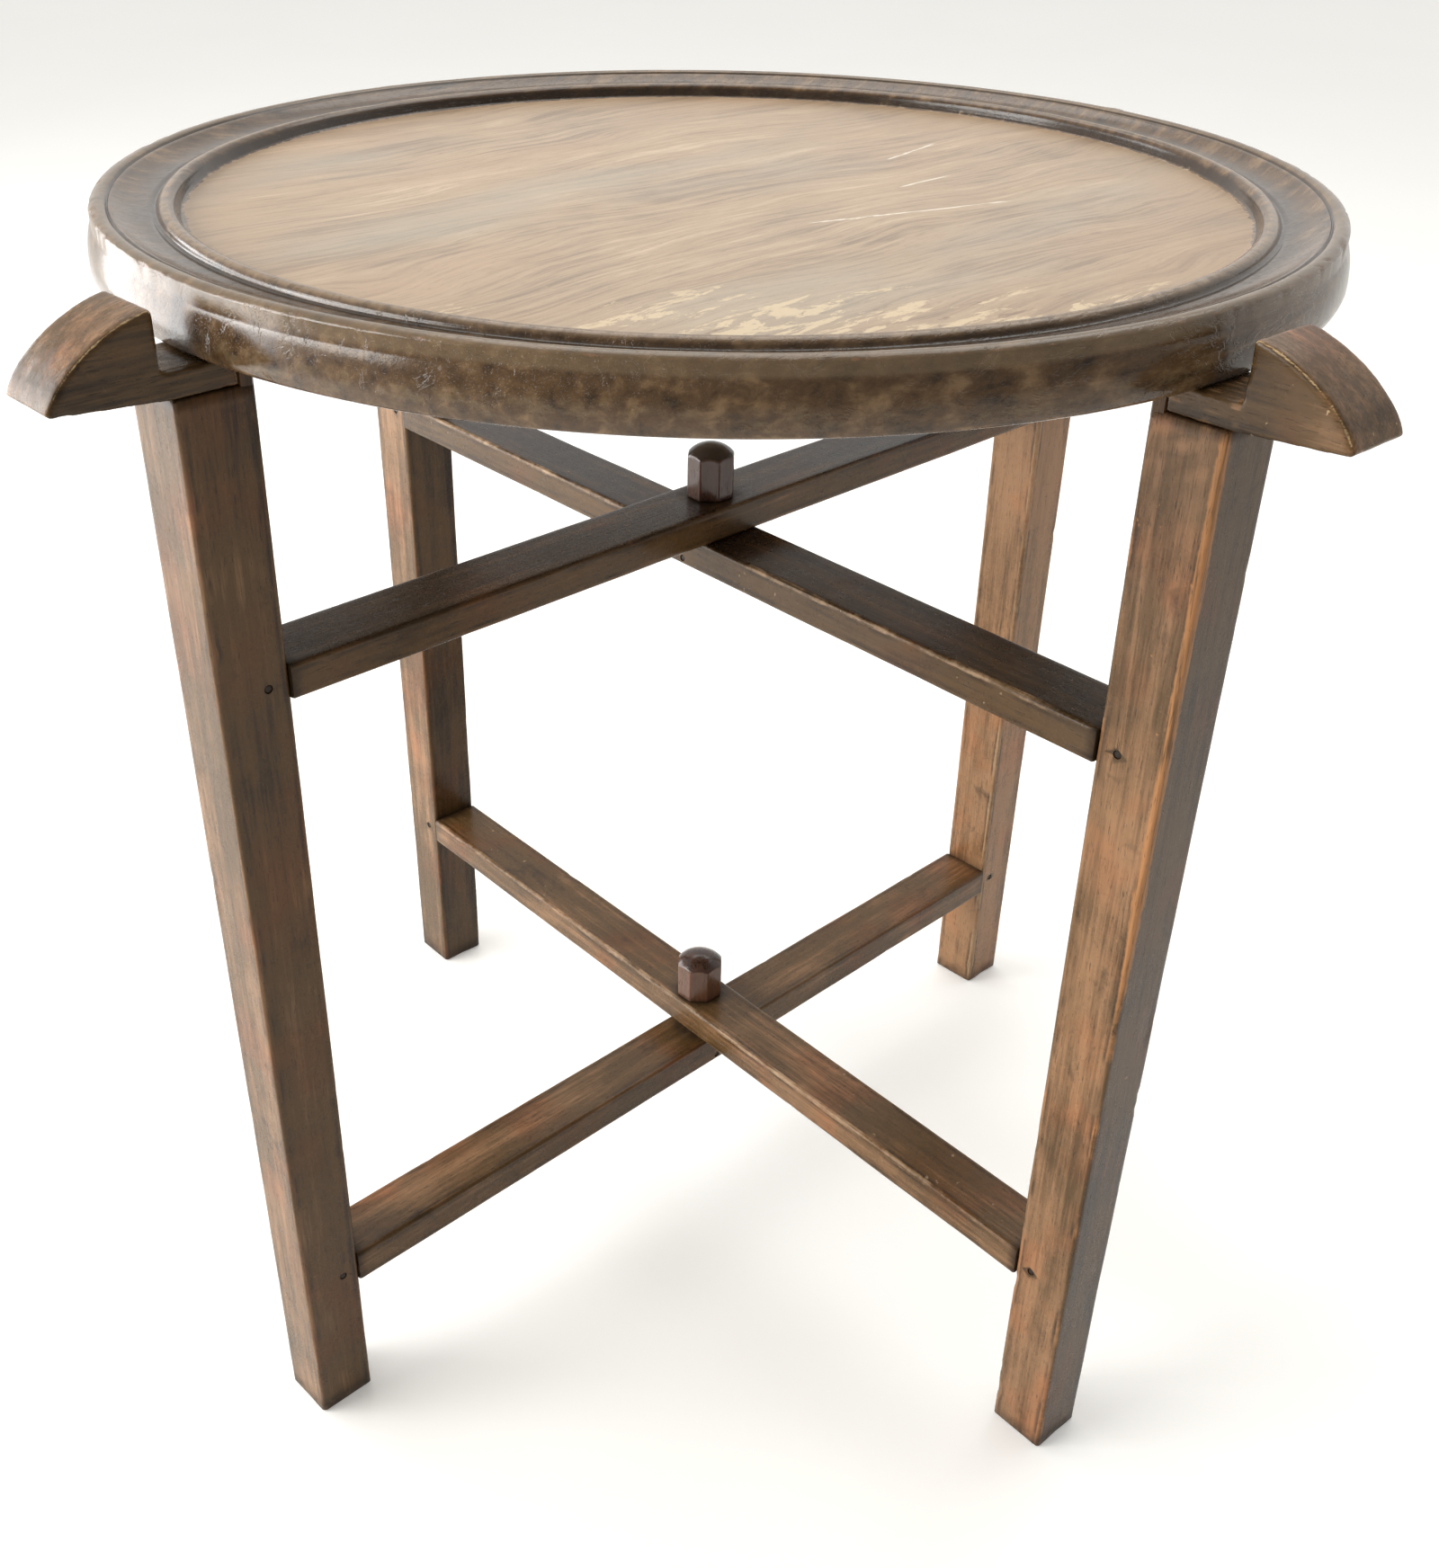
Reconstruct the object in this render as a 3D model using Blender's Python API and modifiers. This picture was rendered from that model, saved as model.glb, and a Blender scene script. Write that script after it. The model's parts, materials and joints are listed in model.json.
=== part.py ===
"""Folding side table: a round dished tray resting on two H-shaped leg frames.

The frames cross and turn about one upright axis, held by a wooden pivot pin
through the upper pair of stretchers and another through the lower pair.
Metres, +Z up. The origin is on the floor, on the pivot axis.
"""

import math

import bmesh
import bpy
from mathutils import Matrix, Vector

# ---- driving dimensions ----
FIT_GAP = 0.0003            # clearance between pieces that touch

FRAME_ANGLE = math.radians(46.2)   # each frame, either side of +X, when the table is open
LEG_RADIUS = 0.2595         # pivot axis to the middle of a leg
LEG_FOOT = 0.0285           # square leg at the floor
LEG_HEAD = 0.0320           # square leg at its top
LEG_ARRIS = 0.0018          # eased edges of the legs

TRAY_BOTTOM = 0.5400
TRAY_THICKNESS = 0.0260
TRAY_RADIUS = 0.2640        # at the fullest part of the side
PANEL_RADIUS = 0.2262       # flat sunk middle of the tray
PANEL_DEPTH = 0.0085        # rim top to sunk middle
PANEL_RISE = (0.0012, 0.0024)           # slope from the sunk middle up to the bead
BEAD_RADIUS = 0.2314        # crest of the inner bead
BEAD_SIZE = (0.0038, 0.0032)
BEAD_DEPTH = 0.0057         # rim top to the middle of the bead
GROOVE_OFFSET = 0.0052      # groove outside the bead
HOLLOW_START = (0.0066, 0.0056)          # beyond the bead's crest, below the rim top
HOLLOW_END = (0.0008, 0.0012)            # inside the scribed line, below the rim top
HOLLOW_SAG = 0.0012
HOLLOW_STEPS = 4
SCRIBE_RADIUS = 0.2540      # fine turned line near the outer edge
SCRIBE_DEPTH = 0.0019
SCRIBE_LIP = (0.0007, 0.0009)            # outer shoulder of the scribed line
BAND_OFFSET = 0.0030        # scribed line to the flat outer band
BAND_EDGE = (0.0036, 0.0028)             # rounding of the outer band's arris
BAND_EDGE_INSET = 0.0063
SIDE_SIZE = (0.0120, 0.0210)             # bulge of the tray's side
SIDE_DEPTH = 0.0210         # rim top to the fullest part of the side
FOOT_SIZE = 0.0026          # rounding under the side
FOOT_INSET = 0.0030
TRAY_STEPS = 72

ARM_THICKNESS = 0.0105      # bracket arm between the leg and the tray
LIP_THICKNESS = 0.0060      # leg wood left standing inside the bracket arm
LEG_TENON = (0.0120, 0.0140, 0.0082)     # stub tenon on the leg head
WING_FACE = 0.2785          # upright face of the wing, from the pivot axis
WING_TIP = 0.3208
WING_TOP = 0.5616
WING_RISE = 0.0035          # rise of the wing's underside from the leg out to the tip
WING_EXPONENT = 1.50        # roundness of the wing's back, 1 is straight and 2 an ellipse
WING_ARRIS = 0.0026
INNER_ROUNDING = 0.5        # share of WING_ARRIS on the wing's upright inner edges
UNDERSIDE_ROUNDING = 0.35
ARM_ROUNDING = 0.15
CURVE_STEPS = 14

UPPER_TOP = 0.4165          # top face of the frame A upper stretcher
UPPER_SIZE = (0.0345, 0.0155)            # width, thickness
LOWER_A_TOP = 0.0925        # top face of the frame A lower stretcher
LOWER_A_SIZE = (0.0310, 0.0175)
LOWER_B_TOP = 0.1165        # top face of the frame B lower stretcher
LOWER_B_SIZE = (0.0310, 0.0162)
STRETCHER_ARRIS = 0.0012
TENON_WIDTH = 0.0200
TENON_THICKNESS = 0.0086
TENON_LENGTH = 0.0160

PEG_RADIUS = 0.0016
PEG_DEPTH = 0.0235
PEG_INSET = 0.0060          # peg centre, from the leg's middle towards the pivot axis
PIN_SHANK_RADIUS = 0.0056
UPPER_KNOB_WIDTH = 0.0218   # across the flats
LOWER_KNOB_WIDTH = 0.0242
KNOB_HEIGHT = 0.0262
KNOB_SIDES = 8
DOME_RADIUS = 0.62          # radius of the domed top, as a share of the knob's width
DOME_RISE = 0.44            # domed part of the knob, as a share of its height
NAIL_RADIUS = 0.0013
NAIL_RISE = 0.0033          # nail centre above the underside of its stretcher
NAIL_SIDE = -1              # the nails are driven from each frame's own -Y side
BORE_SIDES = 32
PEG_SIDES = 16
DOME_STEPS = 8
DOME_TURN_STEPS = 40

# ---- dimensions that follow ----
TRAY_TOP = TRAY_BOTTOM + TRAY_THICKNESS
LEG_TOP = TRAY_BOTTOM - FIT_GAP
ARM_TOP = TRAY_BOTTOM - FIT_GAP
ARM_BOTTOM = ARM_TOP - ARM_THICKNESS
SHOULDER = ARM_BOTTOM - FIT_GAP
TIP_BOTTOM = ARM_BOTTOM + WING_RISE
UPPER_B_TOP = UPPER_TOP - UPPER_SIZE[1] - FIT_GAP

# name, frame sign along its own +X, side of the leg that shows its pegs
FRAME_A_LEGS = (("front_left", -1, 1), ("back_right", 1, -1))
FRAME_B_LEGS = (("front_right", 1, -1), ("back_left", -1, 1))

WOOD = {
    "tray": ((0.150, 0.095, 0.055), 0.42),
    "leg": ((0.120, 0.065, 0.035), 0.45),
    "bracket": ((0.130, 0.075, 0.040), 0.40),
    "stretcher": ((0.110, 0.060, 0.032), 0.42),
    "pin": ((0.070, 0.030, 0.018), 0.28),
    "peg": ((0.050, 0.026, 0.016), 0.55),
    "nail": ((0.060, 0.050, 0.045), 0.50),
}


def clear_scene():
    for obj in list(bpy.data.objects):
        bpy.data.objects.remove(obj, do_unlink=True)


def new_collection(name):
    collection = bpy.data.collections.new(name)
    bpy.context.scene.collection.children.link(collection)
    return collection


def wood_material(name, kind):
    colour, roughness = WOOD[kind]
    material = bpy.data.materials.new(name)
    material.use_nodes = True
    shader = material.node_tree.nodes["Principled BSDF"]
    shader.inputs["Base Color"].default_value = (*colour, 1.0)
    shader.inputs["Roughness"].default_value = roughness
    shader.inputs["Metallic"].default_value = 0.0
    return material


def mesh_object(name, bm, collection):
    mesh = bpy.data.meshes.new(name)
    bm.to_mesh(mesh)
    bm.free()
    obj = bpy.data.objects.new(name, mesh)
    collection.objects.link(obj)
    return obj


def box(name, low, high, collection):
    """A box between two corners."""
    low = Vector(low)
    high = Vector(high)
    bm = bmesh.new()
    bmesh.ops.create_cube(bm, size=1.0)
    size = high - low
    bmesh.ops.scale(bm, vec=size, verts=bm.verts)
    bmesh.ops.translate(bm, vec=(low + high) / 2, verts=bm.verts)
    return mesh_object(name, bm, collection)


def cylinder(name, radius, start, end, collection, sides=BORE_SIDES, turn=0.0):
    """A cylinder from one point to another, with its flats turned about its axis."""
    start = Vector(start)
    end = Vector(end)
    axis = end - start
    bm = bmesh.new()
    bmesh.ops.create_cone(
        bm,
        cap_ends=True,
        segments=sides,
        radius1=radius,
        radius2=radius,
        depth=axis.length,
    )
    rotation = axis.to_track_quat("Z", "Y").to_matrix().to_4x4()
    spin = Matrix.Rotation(turn, 4, "Z")
    place = Matrix.Translation((start + end) / 2)
    bmesh.ops.transform(bm, matrix=place @ rotation @ spin, verts=bm.verts)
    return mesh_object(name, bm, collection)


def cut(obj, cutter, operation="DIFFERENCE"):
    """Cut or join one object with a hidden helper, which follows the object."""
    cutter.parent = obj
    cutter.hide_render = True
    cutter.display_type = "WIRE"
    modifier = obj.modifiers.new(cutter.name, "BOOLEAN")
    modifier.operation = operation
    modifier.object = cutter
    modifier.solver = "EXACT"


def bevel(obj, width, segments, limit="ANGLE"):
    modifier = obj.modifiers.new("eased_edges", "BEVEL")
    modifier.width = width
    modifier.segments = segments
    modifier.limit_method = limit
    modifier.angle_limit = math.radians(35)
    modifier.use_clamp_overlap = True


def finish(obj, kind, smooth=False):
    obj.data.materials.append(wood_material(obj.name, kind))
    if smooth:
        obj.data.shade_smooth()
        obj.data.set_sharp_from_angle(angle=math.radians(30))
    return obj


def leg_width(z):
    """Width of the tapering square leg at a height."""
    return LEG_FOOT + (LEG_HEAD - LEG_FOOT) * z / LEG_TOP


def pivot_frame(name, angle, collection):
    """An empty on the pivot axis, turned to the plane of one leg frame."""
    empty = bpy.data.objects.new(name, None)
    empty.rotation_euler = (0.0, 0.0, angle)
    collection.objects.link(empty)
    return empty


def leg(name, pivot, end, peg_side, stretchers, parts, cutters):
    """A tapering leg, its own +X pointing away from the pivot axis."""
    obj = box(name, (-0.5, -0.5, 0.0), (0.5, 0.5, LEG_TOP), parts)
    for vertex in obj.data.vertices:
        width = leg_width(vertex.co.z)
        vertex.co.x *= width
        vertex.co.y *= width
    bevel(obj, LEG_ARRIS, 2)

    half = LEG_HEAD / 2
    inner_edge = LIP_THICKNESS - half
    low = (inner_edge, -LEG_HEAD, SHOULDER)
    high = (LEG_HEAD, LEG_HEAD, LEG_TOP + LEG_HEAD)
    cut(obj, box(name + "_rebate", low, high, cutters))
    length, width, height = LEG_TENON
    low = (inner_edge + length / 2, -width / 2, SHOULDER - height)
    high = (inner_edge + length * 1.5, width / 2, SHOULDER + height)
    cut(obj, box(name + "_tenon", low, high, cutters), "UNION")

    for label, top, (_, thickness) in stretchers:
        middle = top - thickness / 2
        face = leg_width(middle) / 2
        reach = TENON_LENGTH + FIT_GAP
        low = (-face - LEG_ARRIS, -TENON_WIDTH / 2 - FIT_GAP, middle - TENON_THICKNESS / 2 - FIT_GAP)
        high = (reach - face, TENON_WIDTH / 2 + FIT_GAP, middle + TENON_THICKNESS / 2 + FIT_GAP)
        cut(obj, box(name + "_mortise_" + label, low, high, cutters))
        start = (-PEG_INSET, peg_side * (face + LEG_ARRIS), middle)
        stop = (-PEG_INSET, peg_side * (face - PEG_DEPTH - FIT_GAP), middle)
        hole = cylinder(name + "_peg_hole_" + label, PEG_RADIUS + FIT_GAP, start, stop, cutters, PEG_SIDES)
        cut(obj, hole)

    obj.parent = pivot
    obj.location = (end * LEG_RADIUS, 0.0, 0.0)
    obj.rotation_euler = (0.0, 0.0, 0.0 if end > 0 else math.pi)
    return finish(obj, "leg")


def wing_outline():
    """Side view of a bracket: arm, upright face, rounded back and blunt tip."""
    inner = LEG_RADIUS - LEG_HEAD / 2 + LIP_THICKNESS + FIT_GAP
    points = [(inner, ARM_BOTTOM), (inner, ARM_TOP), (WING_FACE, ARM_TOP)]
    reach = WING_TIP - WING_FACE
    height = WING_TOP - TIP_BOTTOM
    for step in range(CURVE_STEPS):
        angle = math.pi / 2 * (1 - step / (CURVE_STEPS - 1))
        along = abs(math.cos(angle)) ** (2 / WING_EXPONENT)
        rise = abs(math.sin(angle)) ** (2 / WING_EXPONENT)
        points.append((WING_FACE + reach * along, TIP_BOTTOM + height * rise))
    points.append((LEG_RADIUS + LEG_HEAD / 2, ARM_BOTTOM))
    return [(x - LEG_RADIUS, z) for x, z in points]


def edge_rounding(first, second):
    """How much one edge of a bracket is rounded, from 0 for crisp to 1 for worn round."""
    inner_face = WING_FACE - LEG_RADIUS
    on_wing = min(first.x, second.x) > inner_face - FIT_GAP
    if abs(first.y - second.y) > FIT_GAP:
        crest = abs(first.x - inner_face) < FIT_GAP and first.z > ARM_TOP + FIT_GAP
        tip = first.x > WING_TIP - LEG_RADIUS - FIT_GAP
        return 1.0 if crest or tip else 0.0
    if not on_wing:
        underside = max(first.z, second.z) < TIP_BOTTOM + FIT_GAP
        return UNDERSIDE_ROUNDING if underside else ARM_ROUNDING
    upright = abs(first.x - second.x) < FIT_GAP
    return INNER_ROUNDING if upright else 1.0


def bracket(name, pivot, end, parts, cutters):
    """One piece of wood: an arm over the leg head and an upswept wing outside the tray."""
    bm = bmesh.new()
    outline = [bm.verts.new((x, -LEG_HEAD / 2, z)) for x, z in wing_outline()]
    side = bm.faces.new(outline)
    swept = bmesh.ops.extrude_face_region(bm, geom=[side])
    moved = [item for item in swept["geom"] if isinstance(item, bmesh.types.BMVert)]
    bmesh.ops.translate(bm, vec=(0.0, LEG_HEAD, 0.0), verts=moved)
    bmesh.ops.recalc_face_normals(bm, faces=bm.faces)
    weight = bm.edges.layers.float.new("bevel_weight_edge")
    for edge in bm.edges:
        edge[weight] = edge_rounding(edge.verts[0].co, edge.verts[1].co)
    obj = mesh_object(name, bm, parts)
    bevel(obj, WING_ARRIS, 3, "WEIGHT")

    length, width, height = LEG_TENON
    inner_edge = LIP_THICKNESS - LEG_HEAD / 2
    low = (inner_edge + length / 2 - FIT_GAP, -width / 2 - FIT_GAP, ARM_BOTTOM - ARM_THICKNESS)
    high = (inner_edge + length * 1.5 + FIT_GAP, width / 2 + FIT_GAP, SHOULDER + height + FIT_GAP)
    cut(obj, box(name + "_mortise", low, high, cutters))

    obj.parent = pivot
    obj.location = (end * LEG_RADIUS, 0.0, 0.0)
    obj.rotation_euler = (0.0, 0.0, 0.0 if end > 0 else math.pi)
    return finish(obj, "bracket", smooth=True)


def stretcher(name, pivot, top, size, nailed, parts, cutters):
    """A flat bar between two legs, with a tenon at each end and the pivot hole in its middle."""
    width, thickness = size
    middle = top - thickness / 2
    face = leg_width(middle) / 2
    half = LEG_RADIUS - face - FIT_GAP
    obj = box(name, (-half, -width / 2, -thickness / 2), (half, width / 2, thickness / 2), parts)
    bevel(obj, STRETCHER_ARRIS, 2)
    for end in (-1, 1):
        label = name + ("_far" if end > 0 else "_near")
        inside = end * (half - TENON_LENGTH)
        outside = end * (LEG_RADIUS - face + TENON_LENGTH)
        low = (min(inside, outside), -TENON_WIDTH / 2, -TENON_THICKNESS / 2)
        high = (max(inside, outside), TENON_WIDTH / 2, TENON_THICKNESS / 2)
        cut(obj, box(label + "_tenon", low, high, cutters), "UNION")
        x = end * (LEG_RADIUS - PEG_INSET)
        start = (x, -width, 0.0)
        stop = (x, width, 0.0)
        cut(obj, cylinder(label + "_peg_hole", PEG_RADIUS + FIT_GAP, start, stop, cutters, PEG_SIDES))
    start = (0.0, 0.0, -thickness)
    stop = (0.0, 0.0, thickness)
    cut(obj, cylinder(name + "_bore", PIN_SHANK_RADIUS + FIT_GAP, start, stop, cutters))
    if nailed:
        rise = NAIL_RISE - thickness / 2
        start = (0.0, NAIL_SIDE * width, rise)
        stop = (0.0, 0.0, rise)
        cut(obj, cylinder(name + "_nail_hole", NAIL_RADIUS + FIT_GAP, start, stop, cutters, PEG_SIDES))
    obj.parent = pivot
    obj.location = (0.0, 0.0, middle)
    return finish(obj, "stretcher")


def peg(name, pivot, end, peg_side, top, size, parts):
    """A round peg driven through the leg's cheek and the stretcher's tenon."""
    middle = top - size[1] / 2
    face = leg_width(middle) / 2
    start = (0.0, peg_side * face - peg_side * FIT_GAP, 0.0)
    stop = (0.0, peg_side * (face - PEG_DEPTH), 0.0)
    obj = cylinder(name, PEG_RADIUS, start, stop, parts, PEG_SIDES)
    obj.parent = pivot
    # the leg at the near end is turned half a turn, so its sides change places
    obj.rotation_euler = (0.0, 0.0, 0.0 if end > 0 else math.pi)
    obj.location = (end * (LEG_RADIUS - PEG_INSET), 0.0, middle)
    return finish(obj, "peg", smooth=True)


def turned(name, profile, steps, collection):
    """A solid turned about its own Z axis from a half section."""
    bm = bmesh.new()
    corners = [bm.verts.new((x, 0.0, z)) for x, z in profile]
    for first, second in zip(corners, corners[1:]):
        bm.edges.new((first, second))
    obj = mesh_object(name, bm, collection)
    screw = obj.modifiers.new("turned", "SCREW")
    screw.axis = "Z"
    screw.angle = math.tau
    screw.steps = steps
    screw.render_steps = steps
    screw.use_merge_vertices = True
    screw.merge_threshold = 0.0001
    screw.use_smooth_shade = True
    return obj


def dome_profile(knob_width):
    """Half section that rounds off the top of a knob and clears its sides lower down."""
    radius = knob_width * DOME_RADIUS
    rise = KNOB_HEIGHT * DOME_RISE
    spring = KNOB_HEIGHT - rise
    points = []
    for step in range(DOME_STEPS + 1):
        angle = math.pi / 2 * (1 - step / DOME_STEPS)
        points.append((radius * math.cos(angle), spring + rise * math.sin(angle)))
    return points + [(radius, -KNOB_HEIGHT), (0.0, -KNOB_HEIGHT)]


def pivot_pin(name, pivot, knob_width, seat, foot, nail_z, parts, cutters):
    """An eight-sided, dome-topped knob on a round shank, made as one piece."""
    half_side = math.pi / KNOB_SIDES
    knob_radius = knob_width / 2 / math.cos(half_side)
    low = (0.0, 0.0, FIT_GAP)
    high = (0.0, 0.0, KNOB_HEIGHT * 1.5)
    obj = cylinder(name, knob_radius, low, high, parts, KNOB_SIDES, half_side)
    cut(obj, turned(name + "_dome", dome_profile(knob_width), DOME_TURN_STEPS, cutters), "INTERSECT")
    low = (0.0, 0.0, foot - seat)
    high = (0.0, 0.0, KNOB_HEIGHT / 3)
    cut(obj, cylinder(name + "_shank", PIN_SHANK_RADIUS, low, high, cutters), "UNION")
    rise = nail_z - seat
    start = (0.0, NAIL_SIDE * knob_width, rise)
    stop = (0.0, 0.0, rise)
    cut(obj, cylinder(name + "_nail_hole", NAIL_RADIUS + FIT_GAP, start, stop, cutters, PEG_SIDES))
    obj.parent = pivot
    obj.location = (0.0, 0.0, seat)
    return finish(obj, "pin", smooth=True)


def nail(name, pivot, width, nail_z, parts):
    """A short nail from the side of the stretcher into the pin's shank."""
    start = (0.0, NAIL_SIDE * (width / 2 - FIT_GAP), 0.0)
    stop = (0.0, NAIL_SIDE * FIT_GAP, 0.0)
    obj = cylinder(name, NAIL_RADIUS, start, stop, parts, PEG_SIDES)
    obj.parent = pivot
    obj.location = (0.0, 0.0, nail_z)
    return finish(obj, "nail", smooth=True)


def arc(centre, radii, start, stop, steps):
    """Points on part of an ellipse, angles in degrees."""
    points = []
    for step in range(steps + 1):
        angle = math.radians(start + (stop - start) * step / steps)
        points.append((centre[0] + radii[0] * math.cos(angle), centre[1] + radii[1] * math.sin(angle)))
    return points


def tray_profile():
    """Half section of the tray, from the middle of its top out and round to its underside."""
    top = TRAY_TOP
    panel = top - PANEL_DEPTH
    points = [(0.0, panel), (PANEL_RADIUS, panel)]
    points += [(PANEL_RADIUS + PANEL_RISE[0], panel + PANEL_RISE[1])]
    points += arc((BEAD_RADIUS, top - BEAD_DEPTH), BEAD_SIZE, 165, 15, 6)
    points += [(BEAD_RADIUS + GROOVE_OFFSET, top - BEAD_DEPTH)]
    # broad hollow rising to the outer band
    start = Vector((BEAD_RADIUS + HOLLOW_START[0], top - HOLLOW_START[1]))
    end = Vector((SCRIBE_RADIUS - HOLLOW_END[0], top - HOLLOW_END[1]))
    for step in range(HOLLOW_STEPS + 1):
        along = step / HOLLOW_STEPS
        point = start.lerp(end, along)
        points.append((point.x, point.y - HOLLOW_SAG * math.sin(math.pi * along)))
    points += [(SCRIBE_RADIUS, top - SCRIBE_DEPTH)]
    points += [(SCRIBE_RADIUS + SCRIBE_LIP[0], top - SCRIBE_LIP[1])]
    # outer band, its arris, the bulging side and the rounding under it
    points += [(SCRIBE_RADIUS + BAND_OFFSET, top)]
    points += arc((TRAY_RADIUS - BAND_EDGE_INSET, top - BAND_EDGE[1]), BAND_EDGE, 90, 15, 3)
    points += arc((TRAY_RADIUS - SIDE_SIZE[0], top - SIDE_DEPTH), SIDE_SIZE, 40, -4, 4)
    points += arc((TRAY_RADIUS - FOOT_INSET, TRAY_BOTTOM + FOOT_SIZE), (FOOT_SIZE, FOOT_SIZE), -8, -90, 4)
    points += [(0.0, TRAY_BOTTOM)]
    return points


def tray(parts):
    """A dished round tray, turned from one wide board."""
    obj = turned("tray_top", tray_profile(), TRAY_STEPS, parts)
    return finish(obj, "tray")


def build():
    clear_scene()
    parts = new_collection("folding_side_table")
    cutters = new_collection("cutters")
    pivots = {
        "a": pivot_frame("frame_a_pivot", FRAME_ANGLE, parts),
        "b": pivot_frame("frame_b_pivot", -FRAME_ANGLE, parts),
    }
    bars = {
        "a": (("upper", UPPER_TOP, UPPER_SIZE), ("lower", LOWER_A_TOP, LOWER_A_SIZE)),
        "b": (("upper", UPPER_B_TOP, UPPER_SIZE), ("lower", LOWER_B_TOP, LOWER_B_SIZE)),
    }
    # frame A carries the lower cross nail and frame B the upper one
    nail_bar = {"a": "lower", "b": "upper"}
    legs = {"a": FRAME_A_LEGS, "b": FRAME_B_LEGS}
    for key, pivot in pivots.items():
        for corner, end, peg_side in legs[key]:
            leg("leg_" + corner, pivot, end, peg_side, bars[key], parts, cutters)
            bracket("bracket_" + corner, pivot, end, parts, cutters)
            for label, top, size in bars[key]:
                peg("peg_" + label + "_" + corner, pivot, end, peg_side, top, size, parts)
        for label, top, size in bars[key]:
            nailed = nail_bar[key] == label
            stretcher(label + "_stretcher_" + key, pivot, top, size, nailed, parts, cutters)

    foot = UPPER_B_TOP - UPPER_SIZE[1] + FIT_GAP
    nail_z = UPPER_B_TOP - UPPER_SIZE[1] + NAIL_RISE
    pivot_pin("upper_pivot_pin", pivots["b"], UPPER_KNOB_WIDTH, UPPER_TOP, foot, nail_z, parts, cutters)
    nail("upper_pin_nail", pivots["b"], UPPER_SIZE[0], nail_z, parts)
    foot = LOWER_A_TOP - LOWER_A_SIZE[1] + FIT_GAP
    nail_z = LOWER_A_TOP - LOWER_A_SIZE[1] + NAIL_RISE
    pivot_pin("lower_pivot_pin", pivots["a"], LOWER_KNOB_WIDTH, LOWER_B_TOP, foot, nail_z, parts, cutters)
    nail("lower_pin_nail", pivots["a"], LOWER_A_SIZE[0], nail_z, parts)
    tray(parts)


build()
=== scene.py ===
"""Looks of the folding side table: worn, dark-stained wood on a pale studio floor.

Metres, +Z up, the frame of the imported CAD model. Each visible wooden piece is a
finer, worn copy of its CAD node, in the node's own place.
"""

import json
import math

import bmesh
import bpy
import numpy as np
from mathutils import Matrix, Vector


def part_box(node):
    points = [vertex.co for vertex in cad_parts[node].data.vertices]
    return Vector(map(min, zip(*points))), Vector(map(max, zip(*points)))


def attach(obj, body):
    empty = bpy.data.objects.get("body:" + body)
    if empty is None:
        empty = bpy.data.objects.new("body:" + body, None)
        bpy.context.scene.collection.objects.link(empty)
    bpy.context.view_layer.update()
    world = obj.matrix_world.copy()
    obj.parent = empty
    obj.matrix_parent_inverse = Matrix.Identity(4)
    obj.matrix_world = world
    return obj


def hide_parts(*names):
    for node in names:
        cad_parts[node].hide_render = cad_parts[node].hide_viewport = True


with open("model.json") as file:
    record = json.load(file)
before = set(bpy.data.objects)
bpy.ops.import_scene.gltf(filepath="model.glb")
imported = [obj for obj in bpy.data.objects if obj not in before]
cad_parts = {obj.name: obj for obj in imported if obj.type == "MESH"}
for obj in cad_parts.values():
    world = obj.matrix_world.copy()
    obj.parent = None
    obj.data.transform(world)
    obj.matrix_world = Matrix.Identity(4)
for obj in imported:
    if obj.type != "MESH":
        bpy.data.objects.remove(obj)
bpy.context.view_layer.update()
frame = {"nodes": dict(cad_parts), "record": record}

# ---- view and light ----
CAMERA_AT = Vector((0.0206, -0.7693, 0.7263))
CAMERA_YAW = math.radians(-2.354)       # to the right of +Y
CAMERA_PITCH = math.radians(31.546)     # below the horizon
CAMERA_ROLL = math.radians(0.859)
CAMERA_LENS = 39.25
CAMERA_SHIFT = 0.0233

# ---- wear ----
ARRIS_RADIUS = 0.0017
UNWORN = 0.004                  # arris distance of places that show no arris wear
SHEEN_LEVEL = 0.24              # specular level of the old polish
RIM_SHEEN = 0.46                # the tray's rim is glossier
PIN_SHEEN = 0.50

# ---- joints, as in the CAD model ----
FIT_GAP = 0.0003                # clearance between pieces that touch
PEG_HOLE = 0.0019               # radii of the holes
NAIL_HOLE = 0.0016
PIN_HOLE = 0.0059
TENON_HALF = (0.010, 0.0043)    # half width and half thickness
KNOB_HEIGHT = 0.026

# ---- fineness of the meshes ----
STATION_SPACING = 0.0042        # between the rings of a bar
BRACKET_VOXEL = 0.0008
PIN_VOXEL = 0.0005
PEG_VOXEL = 0.00028
TRAY_STEPS = 720

# ---- the tray's mouldings, insets measured from its edge and depths from its top ----
PANEL_INSET = 0.0378
PANEL_DEPTH = 0.0085
BEAD_INSET = 0.0326
BEAD_DEPTH = 0.0057
BEAD_SIZE = (0.0038, 0.0032)
GROOVE_INSET = 0.0276
HOLLOW_SAG = 0.0012
SCRIBE_INSET = 0.0100
BAND_EDGE = (0.0036, 0.0028)    # rounding of the outer band's arris
BAND_EDGE_INSET = 0.0063
SIDE_SIZE = (0.0120, 0.0210)    # bulge of the side
FOOT_SIZE = (0.0026, 0.0026)    # rounding under the side
FOOT_INSET = 0.0030

# ---- the tray's board ----
GRAIN_TURN = math.radians(-46.0)    # the board's grain against X
BOARD_SCRATCHES = (
    ((0.0768, 0.0700), (0.1050, 0.1150)),
    ((0.0380, -0.0560), (0.1280, -0.0060)),
    ((0.0790, 0.0130), (0.1050, 0.0420)),
)
# the board's colours are paler and greyer than the wood itself, with painted sheen from the bright room in
# them
BOARD_DARK = (0.215, 0.145, 0.088)
BOARD_MIDDLE = (0.385, 0.272, 0.172)
BOARD_PALE_AND_SHEEN = (0.530, 0.400, 0.270)
BOARD_ROSY = (0.430, 0.270, 0.160)
BOARD_ASHEN = (0.360, 0.315, 0.240)
BOARD_PORE = (0.150, 0.090, 0.050)
BOARD_BROWN = (0.300, 0.190, 0.105)
BOARD_BARE = (0.620, 0.490, 0.320)
BOARD_POLISH = (0.160, 0.090, 0.045)
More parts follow.
